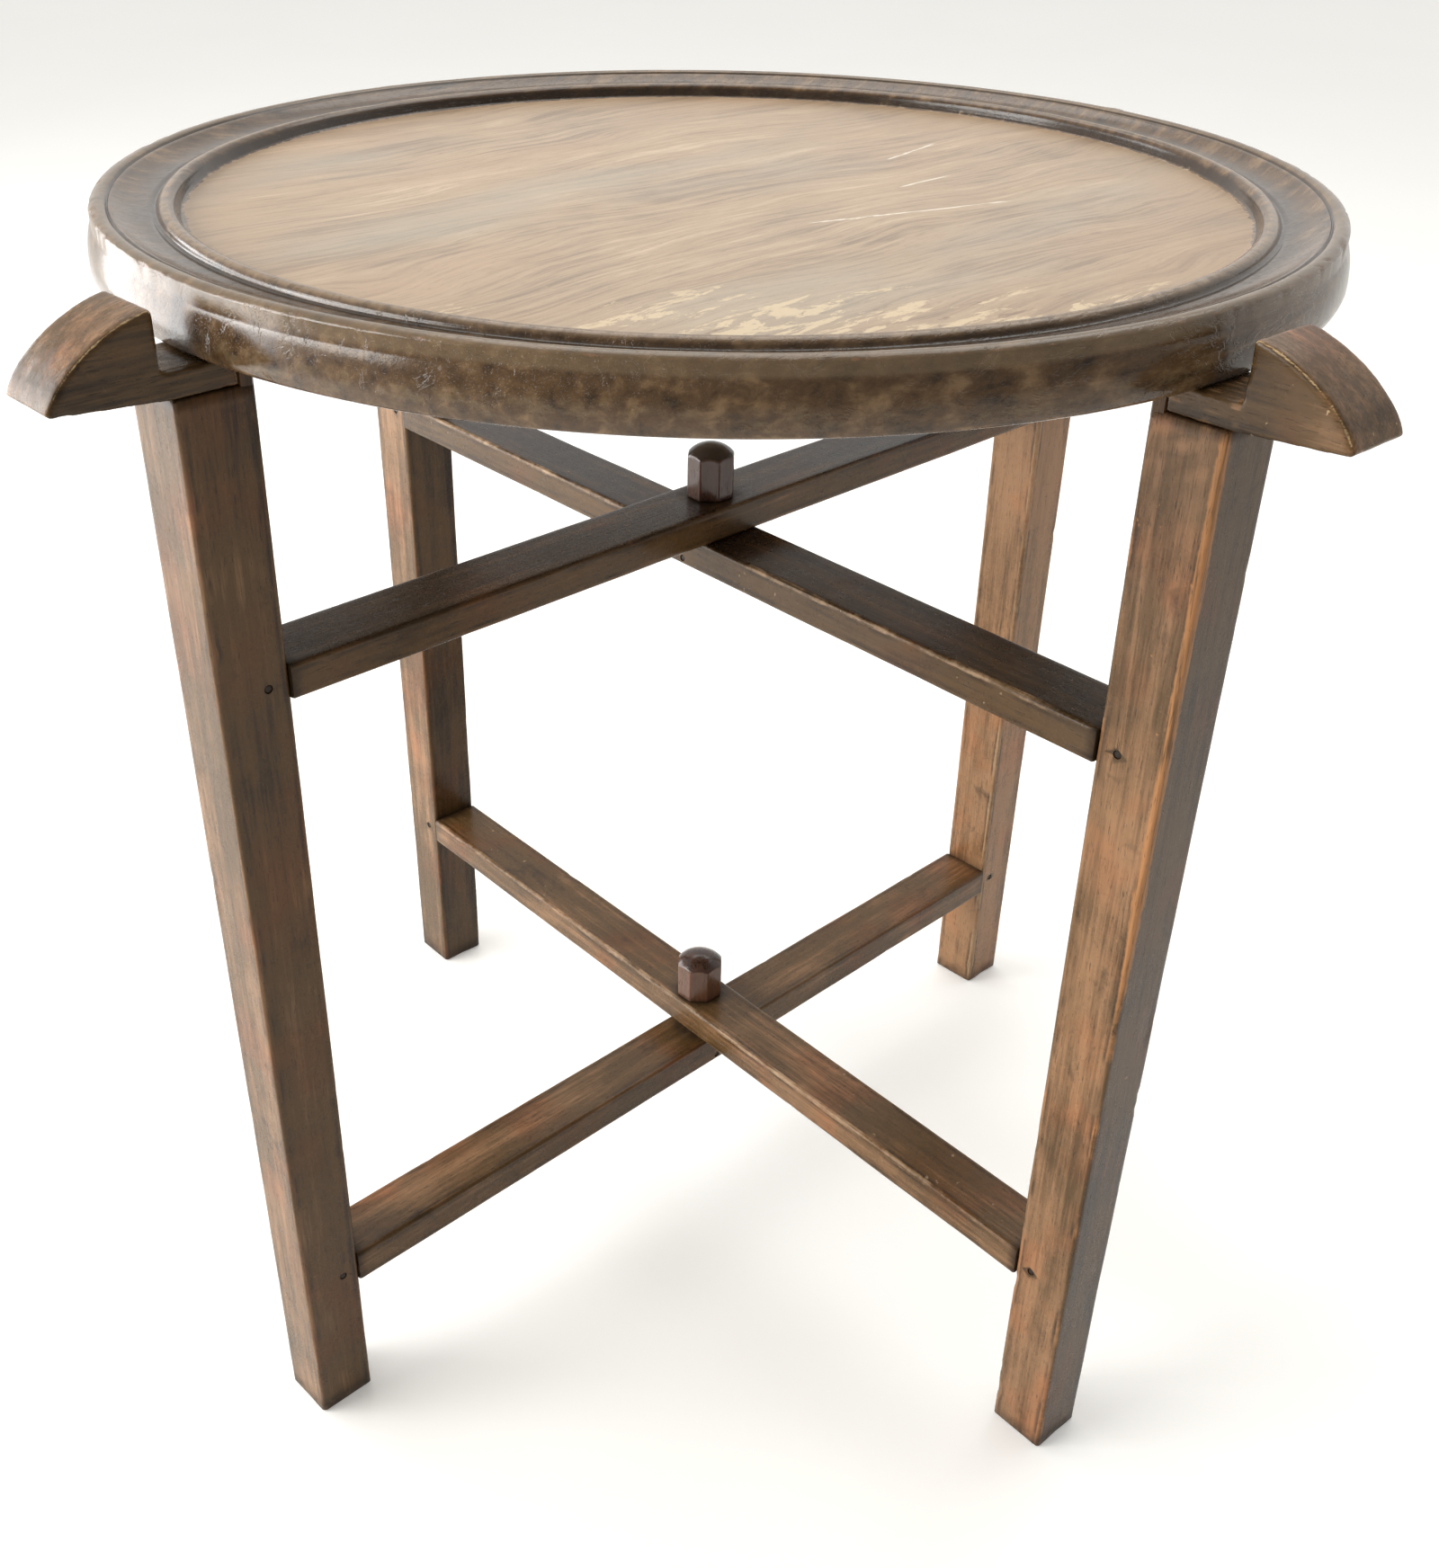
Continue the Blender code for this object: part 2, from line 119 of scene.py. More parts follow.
BOARD_SCRATCH = (0.800, 0.740, 0.620)

# ---- the tray's rim ----
RIM_DEEP = (0.016, 0.0085, 0.0040)
RIM_STAIN = (0.088, 0.048, 0.021)
RIM_LIGHT = (0.205, 0.125, 0.062)
# the band and crest colours stand for painted highlight, the crest's partly for pale wear
RIM_BAND_HIGHLIGHT = (0.190, 0.135, 0.078)
RIM_CREST_WEAR_AND_HIGHLIGHT = (0.250, 0.170, 0.100)
RIM_SPECKLE = (0.200, 0.150, 0.082)
RIM_RUBBED = (0.235, 0.125, 0.065)
RIM_FLAKED = (0.110, 0.045, 0.022)


# ==== noise and mesh helpers

def hashed(i, j, k, seed):
    """A repeatable number in 0..1 for each lattice corner."""
    n = (i * 73856093) ^ (j * 19349663) ^ (k * 83492791) ^ (seed * 1640531513)
    n = (n ^ (n >> 13)) & 0xFFFFFFFF
    n = (n * 1274126177) & 0xFFFFFFFF
    return ((n ^ (n >> 16)) & 0xFFFF) / 65535.0


def noise(points, size, seed=0, octaves=1):
    """Smooth noise in -1..1 with lumps of about the given size; size may differ by axis."""
    total = np.zeros(len(points))
    weight = 1.0
    reach = 0.0
    scaled = np.asarray(points, float) / np.asarray(size, float)
    for octave in range(octaves):
        cell = np.floor(scaled).astype(np.int64)
        part = scaled - cell
        part = part * part * (3 - 2 * part)
        value = np.zeros(len(points))
        for corner in range(8):
            step = np.array([corner & 1, (corner >> 1) & 1, (corner >> 2) & 1])
            share = np.prod(np.where(step == 1, part, 1 - part), axis=1)
            spot = cell + step
            value += share * hashed(spot[:, 0], spot[:, 1], spot[:, 2], seed + 17 * octave)
        total += weight * (2 * value - 1)
        reach += weight
        weight *= 0.5
        scaled = scaled * 2.03
    return total / reach


def smooth_step(low, high, value):
    """Rise smoothly from 0 at low to 1 at high."""
    part = np.clip((value - low) / (high - low), 0.0, 1.0)
    return part * part * (3 - 2 * part)


def read_points(mesh, key="co"):
    """A vector for each point of a mesh."""
    values = np.zeros(len(mesh.vertices) * 3)
    mesh.vertices.foreach_get(key, values)
    return values.reshape(-1, 3)


def cad_points(node, to_local):
    """The corners of a CAD node, in a piece's own frame."""
    matrix = np.array(to_local)
    return read_points(frame["nodes"][node].data) @ matrix[:3, :3].T + matrix[:3, 3]


def node_body(node):
    """The body that a CAD node rides on."""
    for body, members in frame["record"]["behaviour"]["bodies"].items():
        if node in members:
            return body
    raise ValueError(node)


def place_at(x, y, z, angle):
    """A frame at a point, turned about Z."""
    return Matrix.Translation((x, y, z)) @ Matrix.Rotation(angle, 4, "Z")


def new_object(name, data):
    """An object linked to the scene."""
    obj = bpy.data.objects.new(name, data)
    bpy.context.scene.collection.objects.link(obj)
    return obj


def add_fields(mesh, fields):
    """Store one number for each point of a mesh under each name."""
    for key, values in fields.items():
        layer = mesh.attributes.new(key, "FLOAT", "POINT")
        layer.data.foreach_set("value", np.asarray(values, np.float32))


def apply_modifiers(obj):
    """Give an object the mesh that its modifiers make."""
    bpy.context.view_layer.update()
    graph = bpy.context.evaluated_depsgraph_get()
    seen = obj.evaluated_get(graph)
    mesh = bpy.data.meshes.new_from_object(seen, preserve_all_data_layers=True, depsgraph=graph)
    obj.modifiers.clear()
    obj.data = mesh
    return mesh


def wall_faces(rings, around, flipped=False):
    """Faces between neighbouring rings of points."""
    faces = []
    for ring in range(rings - 1):
        for step in range(around):
            a = ring * around + step
            b = ring * around + (step + 1) % around
            quad = (a, b, b + around, a + around)
            faces.append((a, a + around, b + around, b) if flipped else quad)
    return faces


def bar_faces(rings, around):
    """Faces of a closed bar made of rings of points."""
    last = (rings - 1) * around
    return wall_faces(rings, around) + [tuple(reversed(range(around))), tuple(range(last, last + around))]


def make_piece(name, node, place, points, faces, material, fields):
    """A smooth-shaded piece in its own frame, standing for one CAD node."""
    mesh = bpy.data.meshes.new(name)
    mesh.from_pydata([tuple(p) for p in points], [], faces)
    add_fields(mesh, fields)
    mesh.shade_smooth()
    obj = new_object(name, mesh)
    obj.matrix_world = place
    obj.data.materials.append(material)
    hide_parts(node)
    return obj


def settle(obj, node):
    """Let a finished piece ride on the body of its node."""
    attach(obj, node_body(node))
    return obj


def cut_holes(obj, cutters):
    """Cut round holes in a piece and take the cutters away."""
    for cutter in cutters:
        modifier = obj.modifiers.new("hole", "BOOLEAN")
        modifier.operation = "DIFFERENCE"
        modifier.object = cutter
        modifier.solver = "EXACT"
    apply_modifiers(obj).set_sharp_from_angle(angle=math.radians(50))
    for cutter in cutters:
        bpy.data.objects.remove(cutter, do_unlink=True)


def join_solid(obj, points, faces, values):
    """Add another closed solid to a piece's mesh, with one value of each attribute."""
    bm = bmesh.new()
    bm.from_mesh(obj.data)
    layers = {name: bm.verts.layers.float[name] for name in values}
    corners = []
    for point in points:
        corner = bm.verts.new(point)
        for name, layer in layers.items():
            corner[layer] = values[name]
        corners.append(corner)
    for face in faces:
        bm.faces.new([corners[index] for index in face])
    bm.to_mesh(obj.data)
    bm.free()


def hole_cutter(radius, start, stop):
    """A round bar from start to stop, to cut a hole with."""
    start = Vector(start)
    stop = Vector(stop)
    axis = stop - start
    bm = bmesh.new()
    bmesh.ops.create_cone(bm, cap_ends=True, segments=24, radius1=radius, radius2=radius, depth=axis.length)
    turn = axis.to_track_quat("Z", "Y").to_matrix().to_4x4()
    bmesh.ops.transform(bm, matrix=Matrix.Translation((start + stop) / 2) @ turn, verts=bm.verts)
    mesh = bpy.data.meshes.new("cutter")
    bm.to_mesh(mesh)
    bm.free()
    return new_object("cutter", mesh)


# ==== material nodes

class Nodes:
    """Short names for the shader nodes that the materials share."""

    def __init__(self, name):
        self.material = bpy.data.materials.new(name)
        self.material.use_nodes = True
        self.tree = self.material.node_tree
        self.shader = self.tree.nodes["Principled BSDF"]

    def add(self, kind, **settings):
        node = self.tree.nodes.new(kind)
        for key, value in settings.items():
            setattr(node, key, value)
        return node

    def put(self, value, socket):
        if isinstance(value, bpy.types.NodeSocket):
            self.tree.links.new(value, socket)
        elif hasattr(socket.default_value, "__len__") and not hasattr(value, "__len__"):
            socket.default_value = [value] * len(socket.default_value)
        else:
            socket.default_value = value

    def where(self):
        return self.add("ShaderNodeTexCoord").outputs["Object"]

    def attribute(self, name):
        return self.add("ShaderNodeAttribute", attribute_name=name).outputs["Fac"]

    def math(self, operation, first, second=0.0, third=0.0, clamp=False):
        node = self.add("ShaderNodeMath", operation=operation, use_clamp=clamp)
        for value, socket in zip((first, second, third), node.inputs):
            self.put(value, socket)
        return node.outputs[0]

    def stretch(self, vector, scale, turn=0.0, shift=(0.0, 0.0, 0.0)):
        node = self.add("ShaderNodeMapping")
        self.put(vector, node.inputs["Vector"])
        node.inputs["Scale"].default_value = scale
        node.inputs["Rotation"].default_value = (0.0, 0.0, turn)
        node.inputs["Location"].default_value = shift
        return node.outputs[0]

    def noise(self, vector, scale=1.0, detail=3.0, roughness=0.55, distortion=0.0):
        node = self.add("ShaderNodeTexNoise")
        self.put(vector, node.inputs["Vector"])
        node.inputs["Scale"].default_value = scale
        node.inputs["Detail"].default_value = detail
        node.inputs["Roughness"].default_value = roughness
        node.inputs["Distortion"].default_value = distortion
        return node.outputs["Fac"]

    def band(self, value, low, high, out_low=0.0, out_high=1.0):
        """Map low..high smoothly to out_low..out_high."""
        node = self.add("ShaderNodeMapRange", interpolation_type="SMOOTHSTEP")
        keys = ("Value", "From Min", "From Max", "To Min", "To Max")
        for key, number in zip(keys, (value, low, high, out_low, out_high)):
            self.put(number, node.inputs[key])
        return node.outputs[0]

    def both(self, first, second):
        return self.math("MULTIPLY", first, second)

    def away(self, value, line):
        """How far a value is from a line, either way."""
        return self.math("ABSOLUTE", self.math("SUBTRACT", value, line))

    def total(self, start, *pairs):
        """The start plus each field times its weight."""
        for field, weight in pairs:
            start = self.math("MULTIPLY_ADD", field, weight, start)
        return start

    def swings(self, start, *pairs):
        """Like total, for fields of 0 to 1 that pull either way from their middle."""
        return self.total(start - sum(weight for _, weight in pairs) / 2, *pairs)

    def mix(self, share, first, second, blend="MIX"):
        node = self.add("ShaderNodeMix", data_type="RGBA", blend_type=blend)
        self.put(share, node.inputs[0])
        for value, socket in ((first, node.inputs[6]), (second, node.inputs[7])):
            self.put(value if isinstance(value, bpy.types.NodeSocket) else (*value, 1.0), socket)
        return node.outputs[2]

    def finish(self, colour, roughness, height, depth, strength=1.0, sheen=SHEEN_LEVEL):
        bump = self.add("ShaderNodeBump")
        bump.inputs["Strength"].default_value = strength
        bump.inputs["Distance"].default_value = depth
        self.put(height, bump.inputs["Height"])
        self.put(colour, self.shader.inputs["Base Color"])
        self.put(roughness, self.shader.inputs["Roughness"])
        self.put(bump.outputs[0], self.shader.inputs["Normal"])
        self.shader.inputs["Specular IOR Level"].default_value = sheen
        return self.material


def grain_fields(n, along, seed, turn=0.0):
    """Noise fields of wood whose grain runs along one axis: blotches, streaks, fibres and pores."""
    place = n.stretch(n.where(), (1, 1, 1), turn, (seed * 0.37, seed * 0.19, seed * 0.53))
    long = {"x": 0, "y": 1, "z": 2}[along]

    def stretched(across, lengthwise):
        scale = [across] * 3
        scale[long] = lengthwise
        return n.stretch(place, scale)

    blotch = n.noise(stretched(26, 9), 1.0, 3.0, 0.55)
    streak = n.noise(stretched(170, 8), 1.0, 4.0, 0.62, 0.3)
    fibre = n.noise(stretched(850, 38), 1.0, 3.0, 0.62)
    pores = n.noise(stretched(2300, 150), 1.0, 2.0, 0.5)
    return place, blotch, streak, fibre, pores


def old_wood(name, along, seed, palette, gloss=0.26, level_lift=0.0, sheen=SHEEN_LEVEL):
    """Dark-stained wood, rubbed through to paler wood along some arrises.

    The palette is deep, base, pale and rubbed; on the brackets the rubbed colour also paints a highlight.
    The mesh attributes say where the wood is paler or darker, with painted light and shade among it; how
    far the nearest arris is; how rubbed it is, with a painted highlight on the brackets' chamfers; and
    where it is darkened by dirt and by painted shade.
    """
    deep, base, pale, rubbed_colour = palette
    n = Nodes(name)
    place, blotch, streak, fibre, pores = grain_fields(n, along, seed)
    tone = n.attribute("tone")
    arris = n.attribute("arris")
    grime = n.attribute("grime")
    rub = n.attribute("rub")
    ragged = n.noise(n.stretch(place, (330, 330, 330)), 1.0, 3.0, 0.65)
    patchy = n.noise(n.stretch(place, (55, 55, 55)), 1.0, 2.0, 0.5)
    clouds = n.noise(n.stretch(place, (16, 16, 16)), 1.0, 4.0, 0.62, 0.6)

    # stain soaked in unevenly: streaks of grain inside larger clouds
    level = n.swings(level_lift, (streak, 1.15), (blotch, 0.60), (fibre, 0.85), (clouds, 1.00))
    # the mesh lightens or darkens the stain point by point, partly the wood's own tone and partly painted
    # light and shade
    level = n.math("ADD", level, tone)
    colour = n.mix(n.band(level, -0.55, 0.12), deep, base)
    colour = n.mix(n.band(level, 0.12, 0.95), colour, pale)
    # ruddier in places, and black-brown smudges of old polish
    ruddy = n.noise(n.stretch(place, (22, 22, 22), 0.0, (3.1, 1.7, 0.4)), 1.0, 2.0, 0.5)
    warm = n.mix(1.0, colour, (1.30, 0.88, 0.66), "MULTIPLY")
    colour = n.mix(n.band(ruddy, 0.48, 0.70, 0.0, 0.55), colour, warm)
    smudge = n.noise(n.stretch(place, (34, 34, 34), 0.0, (0.3, 2.7, 5.4)), 1.0, 4.0, 0.68, 0.5)
    colour = n.mix(n.band(smudge, 0.60, 0.76, 0.0, 0.65), colour, deep)

    # wear reaches in from the arrises, broken up by the grain
    reach = n.total(-0.0046, (ragged, 0.0016), (patchy, 0.0026), (rub, 0.0028), (streak, 0.0030))
    rubbed = n.band(n.math("SUBTRACT", reach, arris), -0.0004, 0.0008)
    rubbed = n.both(rubbed, n.band(fibre, 0.34, 0.52, 0.25, 1.0))
    beside = n.both(n.band(arris, 0.0002, 0.0008), n.band(arris, 0.0030, 0.0009))
    colour = n.mix(n.both(beside, n.band(patchy, 0.40, 0.62, 0.05, 0.65)), colour, deep)
    colour = n.mix(n.both(rubbed, 0.80), colour, rubbed_colour)
    black = [channel * 0.35 for channel in deep]
    pore = n.band(pores, 0.37, 0.30)
    colour = n.mix(n.both(pore, 0.60), colour, black)
    nicks = n.noise(n.stretch(place, (300, 300, 300), 0.0, (4.4, 0.2, 1.1)), 1.0, 2.0, 0.5)
    nick = n.band(nicks, 0.735, 0.775)
    colour = n.mix(n.both(nick, 0.55), colour, rubbed_colour)
    # darkened by dirt and by painted shade, where the mesh says, as in the brackets' slots and round the
    # pins
    dirt_and_shade = n.both(grime, n.band(ragged, 0.25, 0.60, 0.60, 1.0))
    colour = n.mix(n.math("MULTIPLY", dirt_and_shade, 0.90, clamp=True), colour, black)

    rough = n.total(gloss - 0.13, (ragged, 0.16), (clouds, 0.14), (rubbed, 0.12), (dirt_and_shade, 0.30))
    height = n.total(0.0, (fibre, 0.40), (ragged, 0.35), (pore, -0.7), (nick, -0.8), (streak, 0.22))
    return n.finish(colour, rough, height, 0.00030, 0.50, sheen)


# ==== bars: legs and stretchers

ARC_POINTS = 5
SIDE_SHARES = (0.06, 0.22, 0.5, 0.78, 0.94)


def ring_layout():
    """The order of points round a bar: five along each side, then five round its corner."""
    layout = []
    for corner in range(4):
        layout += [("side", corner, share) for share in SIDE_SHARES]
        layout += [("arc", corner, step / (ARC_POINTS - 1)) for step in range(ARC_POINTS)]
    return layout


LAYOUT = ring_layout()
CORNER_SIGNS = ((1, 1), (-1, 1), (-1, -1), (1, -1))


def bar_rings(stations, half_u, half_v, seed, rubs, wear=1.0):
    """Rings of a squared bar with uneven, worn arrises.

    Sides 0 to 3 face +u, +v, -u and -v; arris i lies between sides i and i + 1.
    """
    count = len(stations)
    line = np.stack([stations, np.zeros(count), np.zeros(count)], axis=1)
    radii = []
    for corner in range(4):
        shift = np.array([0.0, corner * 7.3, seed * 3.1])
        radius = ARRIS_RADIUS * (1 + 0.28 * noise(line + shift, 0.040, seed + corner, 2))
        knock = smooth_step(0.45, 0.90, noise(line + shift, 0.009, seed + corner + 40, 2))
        radii.append(radius + wear * 0.0012 * knock)
    u, v, arris, rub = np.zeros((4, count, len(LAYOUT)))
    side_of = np.array([corner + (share if kind == "arc" else 0.0) for kind, corner, share in LAYOUT])
    normal_u = np.cos(math.pi / 2 * side_of)
    normal_v = np.sin(math.pi / 2 * side_of)
    for index, (kind, corner, share) in enumerate(LAYOUT):
        sign_u, sign_v = CORNER_SIGNS[corner]
        if kind == "arc":
            radius = radii[corner]
            u[:, index] = sign_u * (half_u - radius) + radius * normal_u[index]
            v[:, index] = sign_v * (half_v - radius) + radius * normal_v[index]
            rub[:, index] = rubs[corner]
        else:
            before = CORNER_SIGNS[(corner - 1) % 4]
            start_u, start_v = before[0] * half_u, before[1] * half_v
            stop_u, stop_v = sign_u * half_u, sign_v * half_v
            # keep clear of the rounded corners at both ends
            first = radii[(corner - 1) % 4]
            last = radii[corner]
            length = np.hypot(stop_u - start_u, stop_v - start_v)
            along = (first + share * (length - first - last)) / length
            u[:, index] = start_u + (stop_u - start_u) * along
            v[:, index] = start_v + (stop_v - start_v) * along
            arris[:, index] = np.minimum(along, 1 - along) * length - np.where(share < 0.5, first, last)
            rub[:, index] = rubs[(corner - 1) % 4] if share < 0.5 else rubs[corner]
    points = np.stack([u, v, np.repeat(stations[:, None], len(LAYOUT), axis=1)], axis=2).reshape(-1, 3)
    wave = 0.00016 * noise(points, 0.045, seed + 5, 2) + 0.00006 * noise(points, 0.012, seed + 9, 2)
    dents = -0.0005 * smooth_step(0.60, 0.95, noise(points, (0.006, 0.006, 0.012), seed + 13))
    push = (wave + wear * dents).reshape(count, len(LAYOUT))
    u += push * normal_u
    v += push * normal_v
    return u, v, np.maximum(arris, 0.0).reshape(-1), np.tile(side_of, count), rub.reshape(-1)


def bar_mesh(stations, u, v, squash=0.0009):
    """Points and faces of a closed bar along w, its ends eased a little."""
    count, around = u.shape
    shrink = np.ones(count)
    shrink[[0, -1]] = 1 - squash / max(np.abs(u).max(), np.abs(v).max())
    w = np.repeat(stations[:, None], around, axis=1)
    points = np.stack([u * shrink[:, None], v * shrink[:, None], w], axis=2).reshape(-1, 3)
    return points, bar_faces(count, around)


def eased_stations(length, ease=0.0009):
    """Where a bar's rings are, with one just inside each end."""
    inner = np.linspace(ease, length - ease, max(3, int(length / STATION_SPACING)))
    return np.concatenate([[0.0], inner, [length]])


def leg(corner, tones, rubs, seed, material):
    """One tapering leg with its standing lip; its frame has +X pointing away from the pivot axis."""
    node = "leg_" + corner
    low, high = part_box(node)
    middle = (low + high) / 2
    angle = math.atan2(middle.y, middle.x)
    place = place_at(middle.x, middle.y, 0.0, angle)
    shape = cad_points(node, place.inverted())
    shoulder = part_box("bracket_" + corner)[0].z - FIT_GAP
    foot_half = np.abs(shape[shape[:, 2] < 0.005][:, 1]).max()
    head_half = np.abs(shape[shape[:, 2] > shoulder - 0.02][:, 1]).max()
    stations = eased_stations(shoulder)
    half = foot_half + (head_half - foot_half) * stations / high.z
    along = stations / shoulder
    upper = smooth_step(0.35, 0.75, along)
    rub_lines = [low_rub + (high_rub - low_rub) * upper for low_rub, high_rub in rubs]
    u, v, arris, side, rub = bar_rings(stations, half, half, seed, rub_lines)
    points, faces = bar_mesh(stations, u, v)
    z = points[:, 2]
    # each side's tone is part the wood's own and part painted light and shade
    tone = side_tone(side, tones) + 0.18 * noise(points, (0.02, 0.02, 0.12), seed + 21, 2)
    if corner == "front_right":
        chafed = smooth_step(0.030, 0.004, shoulder - z)
        tone += 0.55 * chafed * smooth_step(0.0, 0.5, noise(points, (0.002, 0.002, 0.007), seed + 9, 2))
    # darker towards the floor, and darker on the inner side where the stretchers enter
    grime = 0.75 * smooth_step(0.012, 0.0, z + 0.005 * noise(points, 0.006, seed + 31, 2))
    for level in ("upper", "lower"):
        bar_low, bar_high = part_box(stretcher_of(level, corner))
        inner = smooth_step(0.3, 0.9, -np.cos(side * math.pi / 2))
        near = np.maximum(bar_low.z - z, z - bar_high.z) + 0.0015 * noise(points, 0.005, seed + 12)
        grime = np.maximum(grime, 0.70 * inner * smooth_step(0.004, -0.001, near))
    under_arm = smooth_step(0.0030, 0.0, shoulder - z + 0.0015 * noise(points, 0.004, seed + 3))
    grime = np.maximum(grime, 0.85 * under_arm)
    fields = {"tone": tone, "arris": arris, "grime": grime, "rub": rub}
    obj = make_piece("worn_" + node, node, place, points, faces, material, fields)
    cut_holes(obj, [peg_cutter("peg_" + level + "_" + corner, PEG_HOLE) for level in ("upper", "lower")])
    lip_points, lip_faces = leg_lip(shape, shoulder, high.z, head_half)
    join_solid(obj, lip_points, lip_faces, {"tone": tones[2], "arris": UNWORN, "grime": 0.2, "rub": 0.0})
    return settle(obj, node)


def side_tone(side, tones):
    """Blend the four sides' tones, painted light and shade among them, round the corners."""
    index = np.floor(side).astype(int) % 4
    share = side - np.floor(side)
    tones = np.asarray(tones, float)
    return tones[index] * (1 - share) + tones[(index + 1) % 4] * share


def leg_lip(shape, shoulder, top, half):
    """The thin wall left standing on the leg's inner side, inside the bracket arm."""
    lip = shape[(shape[:, 2] > shoulder + 0.004) & (shape[:, 0] < -0.5 * half)]
    inner, outer = lip[:, 0].min(), lip[:, 0].max()
    stations = np.array([shoulder - 0.003, shoulder + 0.001, top - 0.0006, top])
    corners = [(outer, half - 0.0012), (outer - 0.0003, half - 0.0003)]
    corners += [(inner + 0.0012, half), (inner, half - 0.0012)]
    corners += [(x, -y) for x, y in reversed(corners)]
    points = []
    for number, z in enumerate(stations):
        pull = 0.0005 if number == len(stations) - 1 else 0.0
        for x, y in corners:
            points.append((x + (pull if x < (inner + outer) / 2 else -pull), y - math.copysign(pull, y), z))
    return points, bar_faces(len(stations), len(corners))


def peg_cutter(node, radius):
    """A hole for a peg, a little longer than the peg at its open end."""
    obj = frame["nodes"][node]
    co = np.array([v.co for v in obj.data.vertices])
    middle = co.mean(axis=0)
    spread = co - middle
    axis = np.linalg.svd(spread, full_matrices=False)[2][0]
    reach = np.abs(spread @ axis).max()
    start = middle - axis * (reach + 0.0008)
    stop = middle + axis * (reach + 0.0008)
    return hole_cutter(radius, start, stop)


def stretcher_of(level, corner):
    """The stretcher that enters a leg."""
    body = node_body("leg_" + corner)
    return f"{level}_stretcher_{body[-1]}"


def stretcher(name, tones, rubs, seed, material):
    """A flat bar between two legs, in a frame whose z runs along the bar."""
    low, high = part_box(name)
    middle = (low + high) / 2
    corner = "back_right" if name.endswith("a") else "front_right"
    leg_low, leg_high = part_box("leg_" + corner)
    angle = math.atan2((leg_low + leg_high).y, (leg_low + leg_high).x)
    # own x across the bar towards the viewer's side, own y up, own z along the bar
    basis = Matrix((
        (math.sin(angle), 0.0, math.cos(angle)),
        (-math.cos(angle), 0.0, math.sin(angle)),
        (0.0, 1.0, 0.0),
    )).to_4x4()
    place = Matrix.Translation(middle) @ basis
    shape = cad_points(name, place.inverted())
    half_u = np.abs(shape[:, 0]).max()
    half_v = np.abs(shape[:, 1]).max()
    broad = shape[np.abs(shape[:, 0]) > half_u - 0.0025]
    half_length = np.abs(broad[:, 2]).max()
    full = np.abs(shape[:, 2]).max()
    stations = eased_stations(2 * half_length, 0.0006)
    u, v, arris, side, rub = bar_rings(stations, half_u, half_v, seed, rubs, 0.7)
    points, faces = bar_mesh(stations, u, v, 0.0004)
    points[:, 2] -= half_length
    # each side's tone carries painted shade too: the upper tops under the tray and all undersides are
    # darker
    tone = side_tone(side, tones) + 0.18 * noise(points, (0.02, 0.02, 0.10), seed + 21, 2)
    z = points[:, 2]
    grime = 0.8 * smooth_step(0.006, 0.0, half_length - np.abs(z) + 0.002 * noise(points, 0.005, seed + 4))
    # darker on the top round the pin: dirt, and painted contact shade where the knob and the crossing
    # stretcher sit
    centre = np.hypot(points[:, 0], points[:, 2])
    knob_dirt_and_shade = smooth_step(0.0175, 0.012, centre + 0.002 * noise(points, 0.006, seed + 8)) * (points[:, 1] > 0)
    grime = np.maximum(grime, 0.8 * knob_dirt_and_shade)
    offset = len(points)
    for end in (-1, 1):
        inner = end * (half_length - 0.004)
        outer = end * full
        wide, thick = TENON_HALF
        tenon = [(sx * wide, sy * thick, zz) for zz in sorted((inner, outer)) for sx, sy in CORNER_SIGNS]
        points = np.concatenate([points, np.array(tenon)])
        faces += [tuple(offset + i for i in quad) for quad in ((3, 2, 1, 0), (4, 5, 6, 7))]
        faces += [tuple(offset + i for i in (k, (k + 1) % 4, (k + 1) % 4 + 4, k + 4)) for k in range(4)]
        offset += 8
    extra = len(points) - len(tone)
    on_bar = {"tone": (tone, 0.0), "arris": (arris, UNWORN), "grime": (grime, 0.4), "rub": (rub, 0.0)}
    fields = {key: np.concatenate([values, np.full(extra, tail)]) for key, (values, tail) in on_bar.items()}
    obj = make_piece("worn_" + name, name, place, points, faces, material, fields)
    through = Vector((0, 0, 0.03))
    cutters = [hole_cutter(PIN_HOLE, middle - through, middle + through)]
    nail = "upper_pin_nail" if name == "upper_stretcher_b" else "lower_pin_nail"
    if node_body(nail) == node_body(name) and name.startswith(nail[:5]):
        cutters.append(peg_cutter(nail, NAIL_HOLE))
    cut_holes(obj, cutters)
    return settle(obj, name)


# ==== carved pieces: brackets, pins, pegs

def worn_copy(node, place, voxel, material, seed, soften, lumps, rule):
    """A finely remeshed copy of a CAD node, softened and made slightly uneven.

    The rule gives tone, darkening, arris distance and rubbing from the points and normals, with painted
    light, shade and highlight among them.
    """
    shape = frame["nodes"][node].data.copy()
    shape.transform(place.inverted())
    obj = new_object("worn_" + node, shape)
    obj.matrix_world = place
    remesh = obj.modifiers.new("fine", "REMESH")
    remesh.mode = "VOXEL"
    remesh.voxel_size = voxel
    relax = obj.modifiers.new("soften", "SMOOTH")
    relax.factor = 0.5
    relax.iterations = soften
    mesh = apply_modifiers(obj)
    points, normals = read_points(mesh), read_points(mesh, "normal")
    bulge = convexity(mesh, points, normals, 24) / voxel
    push = lumps * noise(points, 0.012, seed, 2) + 0.4 * lumps * noise(points, 0.004, seed + 1)
    knocks = smooth_step(0.1, 0.7, noise(points, 0.005, seed + 2))
    push -= 1.6 * lumps * smooth_step(0.25, 0.9, bulge) * knocks
    fields = rule(points, normals)
    points += normals * push[:, None]
    mesh.vertices.foreach_set("co", points.reshape(-1))
    add_fields(mesh, dict(zip(("tone", "grime", "arris", "rub"), fields)))
    mesh.shade_smooth()
    mesh.materials.clear()
    mesh.materials.append(material)
    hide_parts(node)
    return settle(obj, node)


